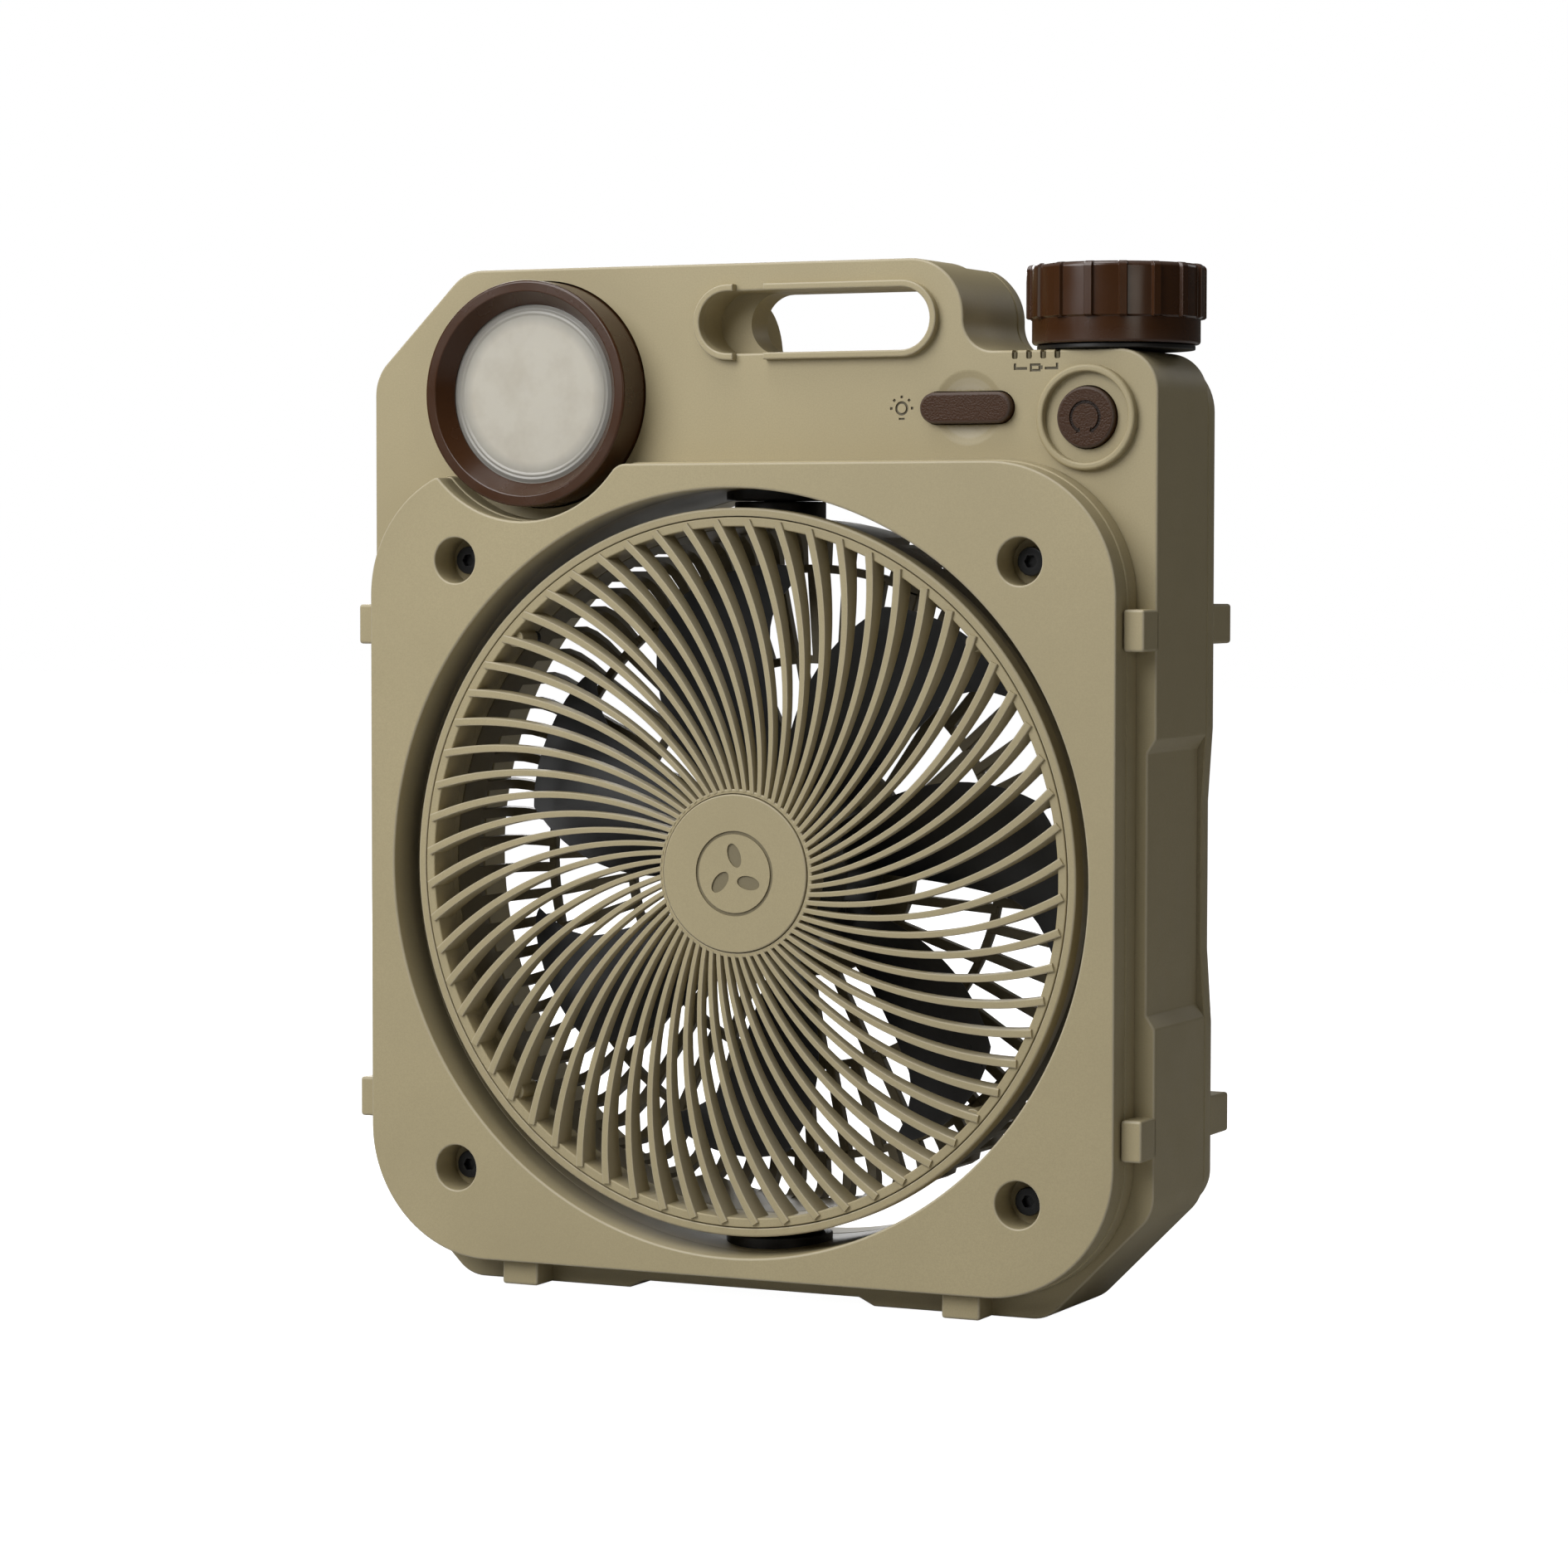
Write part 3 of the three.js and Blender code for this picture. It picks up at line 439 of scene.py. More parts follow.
def lens_plastic():
    """Frosted in the middle with faint marks where the LEDs sit, and clear towards the rim."""
    n = Nodes("frosted_lens")
    centre = ORIGIN + Vector((LAMP_X, 0, LAMP_Z)) * MM
    apart = n.tree.nodes.new("ShaderNodeVectorMath")
    apart.operation = "DISTANCE"
    flat = n.tree.nodes.new("ShaderNodeVectorMath")
    flat.operation = "MULTIPLY"
    flat.inputs[1].default_value = (1, 0, 1)
    n.join(n.place, flat.inputs[0])
    n.join(flat.outputs["Vector"], apart.inputs[0])
    apart.inputs[1].default_value = (centre.x, 0, centre.z)
    rim = n.remap(apart.outputs["Value"], 0, 1, 20.5 * MM, 26 * MM)
    mottled = n.mix(n.remap(n.noise(95, 3, 0.6), 0, 1, 0.42, 0.7), (0.54, 0.51, 0.435), (0.485, 0.45, 0.375))
    n.join(n.mix(rim, mottled, (0.27, 0.26, 0.235)), n.shader.inputs["Base Color"])
    n.join(n.remap(rim, 0.4, 0.28, 0, 1), n.shader.inputs["Roughness"])
    n.join(n.bump(n.noise(1600, 1), 0.02 * MM, 0.5), n.shader.inputs["Normal"])
    n.shader.inputs["Coat Weight"].default_value = 0.12
    n.shader.inputs["Coat Roughness"].default_value = 0.12
    n.shader.inputs["Subsurface Weight"].default_value = 0.2
    n.shader.inputs["Subsurface Radius"].default_value = (0.004, 0.004, 0.003)
    return n.material


def metal(name, colour, roughness):
    """Turned metal with fine rings of uneven gloss."""
    n = Nodes(name)
    streaks = n.noise(700, 3)
    n.join(n.mix(n.remap(streaks, 0, 1), scaled(colour, 0.85), colour), n.shader.inputs["Base Color"])
    n.join(n.remap(streaks, roughness, roughness + 0.15), n.shader.inputs["Roughness"])
    n.join(n.bump(streaks, 0.01 * MM, 0.6), n.shader.inputs["Normal"])
    n.shader.inputs["Metallic"].default_value = 1.0
    return n.material


def pale_floor():
    """Nearly white to the camera, and dim in the light that it gives back to the object."""
    n = Nodes("pale_floor")
    grey = n.mix(n.remap(n.noise(3, 3), 0, 1), (0.36, 0.36, 0.36), (0.4, 0.4, 0.4))
    n.join(grey, n.shader.inputs["Base Color"])
    n.join(n.remap(n.noise(20, 2), 0.65, 0.75), n.shader.inputs["Roughness"])
    path = n.tree.nodes.new("ShaderNodeLightPath")
    n.shader.inputs["Emission Color"].default_value = (1, 1, 1, 1)
    n.join(n.remap(path.outputs["Is Camera Ray"], 0, 0.985, 0, 1), n.shader.inputs["Emission Strength"])
    return n.material


KHAKI = plastic("khaki_plastic", (0.405, 0.343, 0.203), 0.48, rub_highlight_strength=0.3, gloss=0.4)
# the same khaki plastic, darkened as painted shade for the basket deep inside the head
KHAKI_SHADED_COPY = plastic("khaki_basket_painted_shade", (0.17, 0.14, 0.08), 0.5)
BROWN = plastic("brown_plastic", (0.05, 0.0175, 0.0045), 0.25, grain_depth=0.01, patches=0.08, rub_highlight_strength=0.1)
BROWN_GRAINY = plastic("brown_grained_plastic", (0.052, 0.022, 0.009), 0.4, 0.55, 0.16, 0.1, 0.14, gloss=0.22)
BLACK = plastic("black_plastic", (0.012, 0.0115, 0.011), 0.4, rub_highlight_strength=0.06)
SCREW_BLACK = plastic("black_oxide", (0.006, 0.006, 0.006), 0.3, 0.3, 0.008, rub_highlight_strength=0.05, gloss=0.3)
CHARCOAL = plastic("charcoal_blades", (0.022, 0.023, 0.026), 0.32, 0.6, 0.006, rub_highlight_strength=0.08)
SMOKY = plastic("smoky_windows", (0.13, 0.11, 0.066), 0.6, rub_highlight_strength=0.0, gloss=0.1)
LENS = lens_plastic()
SLOT_MATERIALS = {
    "khaki_shell": KHAKI,
    "brown_trim": BROWN,
    "black_plastic": BLACK,
    "black_rubber": plastic("black_rubber", (0.02, 0.02, 0.02), 0.7),
    "black_screw": SCREW_BLACK,
    "charcoal_blade": CHARCOAL,
    "lamp_lens": LENS,
    "white_plastic": plastic("white_plastic", (0.75, 0.74, 0.7), 0.35),
    "circuit_board": plastic("circuit_board", (0.03, 0.14, 0.07), 0.4, 0.8, 0.03),
    "steel": metal("plain_steel", (0.56, 0.56, 0.55), 0.25),
    "brass": metal("brass", (0.7, 0.5, 0.22), 0.28),
    "battery_wrap": plastic("battery_wrap", (0.05, 0.13, 0.32), 0.3, rub_highlight_strength=0.0),
}


# ---------- case ----------
def case_corners(part):
    side_edge, side_flat, step, cut = part
    side_in = HALF_WIDTH - step
    base_edge, base_flat, base_in = 41, 36, BOTTOM + 2.4
    right_side = [
        (HALF_WIDTH, -side_edge, 1.5),
        (side_in, -side_flat, 1.5),
        (side_in, side_flat, 1.5),
        (HALF_WIDTH, side_edge, 1.5),
    ]
    return [
        (-base_edge, BOTTOM, 1.5),
        (-base_flat, base_in, 1.5),
        (base_flat, base_in, 1.5),
        (base_edge, BOTTOM, 1.5),
        (HALF_WIDTH - 33.1 - cut, BOTTOM, 12),
        (HALF_WIDTH, BOTTOM + 33.1 + cut, 12),
        *right_side,
        (HALF_WIDTH, SHOULDER, 12.5 + 2 * cut),
        (STEP_X, SHOULDER, 9.5),
        (STEP_X, TOP, 17),
        (-HALF_WIDTH + 32.1 + cut, TOP, 14),
        (-HALF_WIDTH, TOP - 32.1 - cut, 14),
        *[(-x, z, r) for x, z, r in reversed(right_side)],
        (-HALF_WIDTH, BOTTOM + 33.1 + cut, 12),
        (-HALF_WIDTH + 33.1 + cut, BOTTOM, 12),
    ]


def housing_at(distance):
    return rounded(inset(case_corners(HOUSING), distance), 6)


def cover_at(distance):
    """Rounded less deeply along the base, where the face is only a narrow strip under the opening."""
    return rounded(inset(case_corners(COVER), distance, 0.7), 6)


def opening_at(distance):
    return circle(0, 0, OPENING_R + distance, 192)


def panel_outline():
    corners = [(-PANEL_HALF, PANEL_BOTTOM, 40), (PANEL_HALF, PANEL_BOTTOM, 40)]
    corners += [(PANEL_HALF, PANEL_TOP, 40), (-PANEL_HALF, PANEL_TOP, 40)]
    return bitten(rounded(corners, 3), (LAMP_X, LAMP_Z), 38.7, (3.2, 1.2))


def front_panel():
    shell = Shell()
    outline = panel_outline()
    back = CASE_FRONT - 0.3
    face, wall = shell.lip(lambda d: offset(outline, d), 0, 8.2, 0.75)
    steps = [(-0.35, 8.3), (-0.6, 8.7), (-0.6, back)]
    skirt = [shell.ring(offset(outline, d), y) for d, y in steps]
    shell.bridge(wall, *skirt)
    # the opening's wall darkens towards its back: painted shade
    hole_front, hole_back = shell.lip(opening_at, 0, back, 0.8, dark=-0.6)
    recesses = []
    for sx, sz in CORNERS:
        x, z = sx * SCREW_AT, sz * SCREW_AT
        rim, floor = shell.lip(lambda d: circle(x, z, 7 + d, 56), 0, 12.4, 0.6)
        shell.cap(floor)
        recesses.append(rim)
    shell.cap(face, hole_front, *recesses)
    shell.cap(skirt[-1], hole_back)
    return shell.build("front_panel_fine", KHAKI, "housing", ["front_panel"], "khaki_shell")


def lugs(shell, y0, y1, below, above, half=6.1, depth=6.5):
    for sx, sz in CORNERS:
        near, far = sorted((sx * (HALF_WIDTH - depth), sx * HALF_WIDTH))
        shell.block(near, far, y0, y1, sz * LUG_AT - below, sz * LUG_AT + above, 0.9)
    for sx in (-1, 1):
        shell.block(sx * LUG_AT - half, sx * LUG_AT + half, y0, y1, BOTTOM, BOTTOM + depth + 0.9, 0.9)


def seam_edge(shell, ring, outline_at, y, way, size=0.35):
    """The small bevel where two halves of the case meet. Gives the ring on the joint's face."""
    # the bevel is paled for wear and as a painted highlight
    bevel = shell.ring(outline_at(size), y + way * size, 0.4)
    shell.bridge(ring, bevel)
    return bevel


def slot_lip(shell):
    """The raised edge round the hand slot, open above and below at one place."""
    radii = (SLOT_HEIGHT - 0.05, SLOT_HEIGHT + 2)
    left, right = SLOT_X - SLOT_LENGTH + SLOT_HEIGHT, SLOT_X + SLOT_LENGTH - SLOT_HEIGHT

    def half_circle(x, radius, start):
        spots = [polar(radius, start + 180 * k / 24) for k in range(25)]
        return [(x + dx, SLOT_Z + dz) for dx, dz in spots]

    def hook(x, end, start):
        inner, outer = (half_circle(x, radius, start) for radius in radii)
        way = -1 if start < 0 else 1
        low_out, low_in, high_in, high_out = ((end, SLOT_Z + way * s * radii[i]) for s, i in
                                              ((1, 1), (1, 0), (-1, 0), (-1, 1)))
        return [low_out, *outer, high_out, high_in, *reversed(inner), low_in]

    for outline in (hook(right, 5.2, -90), hook(left, -4.9, 90)):
        shell.pad(lambda d: offset(outline, d), CASE_FRONT - 2.7, CASE_FRONT + 0.6, 0.55)


def icon_pockets(shell):
    """Sunken marks beside the buttons: a lamp, and a battery between two brackets. Their floors get painted
    shade.
    """
    y, depth = CASE_FRONT, 0.45

    def bar(x0, x1, z0, z1):
        return shell.pocket([(x0, z0), (x1, z0), (x1, z1), (x0, z1)], y, depth, -1)

    rims = []
    x, z = 49.5, 138.4
    outer = shell.ring(circle(x, z, 2.1, 32), y)
    outer_floor = shell.ring(circle(x, z, 2.1, 32), y + depth, -1)
    inner_floor = shell.ring(circle(x, z, 1.35, 32), y + depth, -1)
    inner = shell.ring(circle(x, z, 1.35, 32), y)
    shell.bridge(outer, outer_floor, inner_floor, inner)
    shell.cap(inner)
    rims.append(outer)
    for k in range(5):
        along = Vector(polar(1, 45 * k))
        across = Vector((-along.y, along.x)) * 0.4
        near, far = along * 2.95, along * 3.75
        spots = (near - across, far - across, far + across, near + across)
        rims.append(shell.pocket([(x + p.x, z + p.y) for p in spots], y, depth, -1))
    rims.append(bar(x - 0.95, x + 0.95, z - 3.4, z - 2.8))
    low = 149.1
    left, right = NOTCHES[0] - 0.3, NOTCHES[-1] + 0.3
    hook = [(left, low), (left + 4.2, low), (left + 4.2, low + 0.8), (left + 0.75, low + 0.8)]
    hook += [(left + 0.75, low + 1.9), (left, low + 1.9)]
    rims.append(shell.pocket(hook, y, depth, -1))
    mirrored = [(left + right - px, pz) for px, pz in reversed(hook)]
    rims.append(shell.pocket(mirrored, y, depth, -1))
    middle = (left + right) / 2
    cell = [(middle - 1.9, low - 0.5), (middle + 1.5, low - 0.5), (middle + 1.5, low + 0.1)]
    cell += [(middle + 2.1, low + 0.1), (middle + 2.1, low + 1.2), (middle + 1.5, low + 1.2)]
    cell += [(middle + 1.5, low + 1.8), (middle - 1.9, low + 1.8)]
    outer = shell.ring(cell, y)
    outer_floor = shell.ring(cell, y + depth, -1)
    window = [(middle - 1.2, low + 0.2), (middle + 0.8, low + 0.2), (middle + 0.8, low + 1.1)]
    window.append((middle - 1.2, low + 1.1))
    inner_floor = shell.ring(window, y + depth, -1)
    inner = shell.ring(window, y)
    shell.bridge(outer, outer_floor)
    shell.cap(outer_floor, inner_floor)
    shell.bridge(inner_floor, inner)
    shell.cap(inner)
    rims.append(outer)
    return rims


def finger_room(name):
    """Cutters for the space behind the handle bar, and for the shoulder's slope towards it on the left."""
    floor = SLOT_Z - SLOT_HEIGHT - 0.3
    left, right = BAR_LEFT - 0.3, SLOT_X + SLOT_LENGTH + 0.3
    shell = Shell()
    corners = [(left, floor, 3), (right, floor, 3), (right, 200, 3), (left, 200, 3)]
    outline = rounded(corners)
    rings = [shell.ring(outline, BAR_BACK), shell.ring(outline, 90)]
    shell.bridge(*rings)
    shell.cap(rings[0])
    shell.cap(rings[1])
    room = shell.build(name, None, None)
    slope = Shell()
    round_y, round_z, radius = 34.5, floor, 16.5
    profile = [(BAR_BACK, 200), (90, 200), (90, floor)]
    start = math.degrees(math.acos((BAR_BACK - round_y) / radius))
    profile += [(round_y + dy, round_z + dz) for dy, dz in (polar(radius, start * k / 12) for k in range(13))]
    ends = [[slope.add((x, y, z)) for y, z in profile] for x in (-28, left + 4)]
    slope.bridge(*ends)
    slope.faces += [tuple(ends[0]), tuple(ends[1])]
    return room, slope.build(name + "_slope", None, None)


def main_housing():
    shell = Shell()
    face, side = shell.lip(housing_at, CASE_FRONT, SEAM - 0.65, 0.8)
    joint = seam_edge(shell, side, housing_at, SEAM - 0.65, 1)
    # the opening's wall is darkened towards its back: painted shade
    hole_front, hole_back = shell.lip(opening_at, CASE_FRONT, SEAM - 0.65, 0.3, 2, dark=-0.8)
    hole_joint = seam_edge(shell, hole_back, opening_at, SEAM - 0.65, 1)

    def slot_at(distance):
        return stadium(SLOT_X, SLOT_Z, SLOT_LENGTH + distance, SLOT_HEIGHT + distance)

    slot_right = SLOT_X + SLOT_LENGTH

    def short_slot_at(distance):
        middle, half = (BAR_LEFT + slot_right) / 2, (slot_right - BAR_LEFT) / 2
        return stadium(middle, SLOT_Z, half + distance - 0.04, SLOT_HEIGHT + distance - 0.04)

    slot_front, slot_floor = shell.lip(slot_at, CASE_FRONT, 28, 0.8)
    short_front = shell.ring(short_slot_at(0), 28)
    short_back = shell.ring(short_slot_at(0), SEAM - 0.3)
    shell.cap(slot_floor, short_front)
    shell.bridge(short_front, short_back)
    wells = [(circle(LAMP_X, LAMP_Z, LAMP_R + 0.45), 20), (stadium(LIGHT_X, LIGHT_Z, 14.85, 4.95), 20)]
    wells.append((circle(SWING_X, SWING_Z, 9.3, 64), 20))
    rims = [shell.pocket(outline, CASE_FRONT, depth - CASE_FRONT) for outline, depth in wells]
    shell.cap(face, hole_front, slot_front, *rims, *icon_pockets(shell))
    shell.cap(joint, hole_joint, short_back)
    piece = shell.build("main_housing_fine", KHAKI, "housing", ["main_housing"], "khaki_shell")

    dish = Shell()
    radius, depth = 11.35, 1.9
    ball = (radius ** 2 + depth ** 2) / (2 * depth)
    bowl = [(0, CASE_FRONT - 1, 0)]
    for k in range(13):
        r = radius * k / 12
        bowl.append((r, CASE_FRONT + depth - ball + math.sqrt(ball ** 2 - r ** 2), 0))
    bowl.append((radius, CASE_FRONT - 1, 0))
    dish.turned(bowl, LIGHT_X, LIGHT_Z, 80)
    carve(piece, dish.build("dish", None, None))
    windows = Shell()
    for x in NOTCHES:
        windows.block(x - 0.9, x + 0.9, CASE_FRONT - 2, CASE_FRONT + 3, SHOULDER - 2.6, SHOULDER + 3, 0.05)
    carve(piece, windows.build("windows", None, None))
    for cutter in finger_room("room_in_housing"):
        carve(piece, cutter)

    trim = Shell()
    slot_lip(trim)
    collar = [(13.2, 12.3, 0.7), (15.4, 12.3, 0.9), (15.4, 15.6, 0), (13.2, 15.6, 0)]
    trim.turned(rounded(collar[::-1]), SWING_X, SWING_Z)
    lugs(trim, 4.7, CASE_FRONT + 2, 6.1, 6.1)
    trim.build("case_lugs_and_slot_lip", KHAKI, "housing", (), "khaki_shell")


def rear_cover():
    shell = Shell()
    face, side = shell.lip(cover_at, CASE_REAR, SEAM + 0.65, REAR_ROUND, 9)
    joint = seam_edge(shell, side, cover_at, SEAM + 0.65, -1)
    hole_face, hole_side = shell.lip(opening_at, CASE_REAR, SEAM + 0.65, 1.6, 5)
    hole_joint = seam_edge(shell, hole_side, opening_at, SEAM + 0.65, -1)
    rims = []
    for sx, sz in CORNERS:
        x, z = sx * SCREW_AT, sz * SCREW_AT
        rim, floor = shell.lip(lambda d: circle(x, z, 5 + d, 40), CASE_REAR, CASE_REAR - 5, 0.5)
        shell.cap(floor)
        rims.append(rim)
    corners = [(PORT_X - 9.2, PORT_Z - 5.7, 2), (PORT_X + 9.2, PORT_Z - 5.7, 2)]
    corners += [(PORT_X + 9.2, PORT_Z + 5.7, 2), (PORT_X - 9.2, PORT_Z + 5.7, 2)]
    rim, floor = shell.lip(lambda d: rounded(inset(corners, -d)), CASE_REAR, CASE_REAR - 0.1, 0.1, 1)
    shell.cap(floor)
    rims.append(rim)
    shell.cap(face, hole_face, *rims)
    shell.cap(joint, hole_joint)
    piece = shell.build("rear_cover_fine", KHAKI, "housing", ["rear_cover"], "khaki_shell")
    for cutter in finger_room("room_in_cover"):
        carve(piece, cutter)
    trim = Shell()
    lugs(trim, 62, 77.7, 4.7, 7.1)
    trim.build("rear_lugs", KHAKI, "housing", (), "khaki_shell")


def cap_screw(shell, x, z, y, way, radius, height, length):
    """A socket cap screw: a bevelled head with a hexagon socket, and a shank."""
    face, end = shell.lip(lambda d: circle(x, z, radius - d, 40), y, y + way * height, 0.5, 3)
    socket = circle(x, z, radius * 0.48, 6)
    rim = shell.ring(socket, y, 0.6)
    floor = shell.ring(socket, y + way * height * 0.55)
    shell.bridge(rim, floor)
    shell.cap(floor)
    shell.cap(face, rim)
    neck = shell.ring(circle(x, z, radius * 0.55, 40), y + way * height)
    foot = shell.ring(circle(x, z, radius * 0.55, 40), y + way * length)
    shell.bridge(end, neck, foot)
    shell.cap(foot)


def case_screws():
    for i, (sx, sz) in enumerate(CORNERS, 1):
        x, z = sx * SCREW_AT, sz * SCREW_AT
        front, rear = Shell(), Shell()
        cap_screw(front, x, z, 8.5, 1, 4.25, 3.6, 22)
        cap_screw(rear, x, z, CASE_REAR - 1.2, -1, 4.25, 3.5, 26)
        for side, shell in (("front", front), ("rear", rear)):
            node = f"{side}_screw_{i}"
            shell.build(node + "_fine", SCREW_BLACK, "housing", [node], "black_screw", 30)


# ---------- lamp ----------
def lamp():
    bezel = Shell()
    profile = [(26.8, 26, 0), (26.8, 10, 0), (28.8, 10, 0), (28.8, 7.5, 0), (27.2, 7.5, 0)]
    profile += [(27.2, 7.0, 0.2), (31, 1.5, 0.5)]
    profile += [(LAMP_R, 1.5, 0.8), (LAMP_R, 26, 0)]
    bezel.turned(rounded(profile[::-1], 15), LAMP_X, LAMP_Z, 160)
    bezel.build("lamp_bezel_fine", BROWN, "housing", ["lamp_bezel"], "brown_trim")

    lens = Shell()
    face = [(0, 9.6, 0), (28.4, 9.6, 0.2), (28.4, 7.7, 0.2), (26.9, 7.6, 0.3), (25.9, 7.0, 0.3)]
    face += [(25.2, 7.2, 0.3), (24.6, 6.95, 0.3), (23.9, 7.15, 0.3), (12, 6.9, 8), (0, 6.8, 0)]
    lens.turned(rounded(face, 20), LAMP_X, LAMP_Z, 160)
    lens.build("lamp_lens_fine", LENS, "housing", ["lamp_lens"], "lamp_lens", 60)


# ---------- controls ----------
def knob():
    shell = Shell()

    def grip(inward):
        points = []
        for i in range(KNOB_RIBS):
            middle = 360 * i / KNOB_RIBS + 2.95
            half_rib = [(2.3, 1.1), (2.7, 0.85), (2.95, 0.15), (3.2, 0)]
            shape = [(-angle, rise) for angle, rise in reversed(half_rib)] + half_rib
            shape += [(3.2 + k * 4.025, 0) for k in range(1, 4)]
            for angle, rise in shape:
                points.append((*polar(25.3 + rise - inward, middle + angle), 0))
        return points

    face, side = shell.lip(grip, -180, -164.6, 1.5, 5)
    # the rim under the grip and the skirt's edge are paled for wear and as a painted highlight
    under = shell.ring(grip(0.5), -164.2, 0.3)

    def skirt(radius):
        sides = 11 * KNOB_RIBS
        return [(*polar(radius, 360 * i / sides), 0) for i in range(sides)]

    skirt_top = shell.ring(skirt(24.7), -164.0)
    shell.bridge(side, under, skirt_top)
    rings = [skirt_top]
    for radius, y in [(24.7, -157.6), (24.5, -157.1), (24.1, -156.8)]:
        rings.append(shell.ring(skirt(radius), y, 0.4))
    shell.bridge(*rings)
    shell.cap(rings[-1])
    rim, floor = shell.lip(lambda d: circle(0, 0, 20.5 + d, 96), -180, -179.1, 0.4, 3)
    pointer = [(-0.7, -18.5, 0), (0.7, -18.5, 0), (0.7, -11, 0), (-0.7, -11, 0)]
    # the pointer groove's floor gets painted shade
    mark = shell.pocket(pointer, -179.1, 0.5, -1)
    shell.cap(face, rim)
    shell.cap(floor, mark)
    shell.stand(KNOB_X, AXIS_Y)
    shell.build("speed_knob_fine", BROWN, "speed_knob", ["speed_knob"], "brown_trim", 34)

    ring = Shell()
    ring.turned(rounded([(5, -156.5, 0), (5, -155.2, 0), (23.2, -155.2, 0.3), (23.2, -156.5, 0.3)]))
    ring.stand(KNOB_X, AXIS_Y)
    ring.build("knob_base_ring_fine", BLACK, "housing", ["knob_base_ring"], "black_plastic")


def turn_arrow():
    """The mark on the swing button: a ring open at the bottom with an arrow head at each end."""
    inner, outer, gap = 3.95, 4.9, 32
    outer_arc = [polar(outer, -90 + gap + k * (360 - 2 * gap) / 40) for k in range(41)]
    inner_arc = [polar(inner, -90 + gap + k * (360 - 2 * gap) / 40) for k in range(41)]

    def head(way):
        base, tip = -90 + way * gap, -90 + way * (gap - 13)
        return [polar(outer + 0.6, base), polar((inner + outer) / 2, tip), polar(inner - 0.6, base)]

    points = [*outer_arc, *head(-1), *reversed(inner_arc), *reversed(head(1))]
    return [(SWING_X + x, SWING_Z + z, 0) for x, z in points]


def buttons():
    light = Shell()
    light.pad(lambda d: stadium(LIGHT_X, LIGHT_Z, 14.5 - d, 4.6 - d), 12, 18.4, 1.1)
    light.build("light_button_fine", BROWN_GRAINY, "light_button", ["light_button"], "brown_trim")
    swing = Shell()
    # the arrow groove's floor gets painted shade
    mark = swing.pocket(turn_arrow(), 12.6, 0.4, -1)
    swing.pad(lambda d: circle(SWING_X, SWING_Z, 8.95 - d, 72), 12.6, 18.4, 0.9, [mark])
    swing.build("swing_button_fine", BROWN_GRAINY, "swing_button", ["swing_button"], "brown_trim")


def usb_flap():
    shell = Shell()
    shell.block(PORT_X - 8, PORT_X + 8, CASE_REAR + 0.15, CASE_REAR + 2, PORT_Z - 4.5, PORT_Z + 4.5, 0.6)
    shell.block(PORT_X - 3, PORT_X + 3, CASE_REAR + 1.2, CASE_REAR + 2.6, PORT_Z - 4.2, PORT_Z - 3.2, 0.3)
    shell.build("usb_cover_fine", SLOT_MATERIALS["black_rubber"], "usb_cover", ["usb_cover"], "black_rubber")


# ---------- pivots ----------
def pivots():
    for side, word in ((1, "upper"), (-1, "lower")):
        bush = Shell()
        heights = [(16.35, 119.4, 0), (16.35, 111.6, 0.5), (5.2, 111.6, 0.3), (5.2, 119.4, 0)]
        profile = [(r, -side * h, f) for r, h, f in heights]
        bush.turned(rounded(profile if side > 0 else profile[::-1]), sides=96)
        bush.stand(0, AXIS_Y)
        bush.build(word + "_pivot_bush_fine", BLACK, "housing", [word + "_pivot_bush"], "black_plastic")
        boss = Shell()
        ends = [(0, 126 if side > 0 else 123.4, 0), (5, 126 if side > 0 else 123.4, 0.5), (5, 111.3, 0)]
        ends += [(13.9, 111.3, 0.6), (13.9, 106.0, 0), (0, 106.0, 0)]
        profile = [(r, -side * h, f) for r, h, f in ends]
        boss.turned(rounded(profile[::-1] if side > 0 else profile), sides=96)
        boss.stand(0, AXIS_Y)
        boss.build(word + "_trunnion_fine", BLACK, "head", [word + "_trunnion"], "black_plastic")


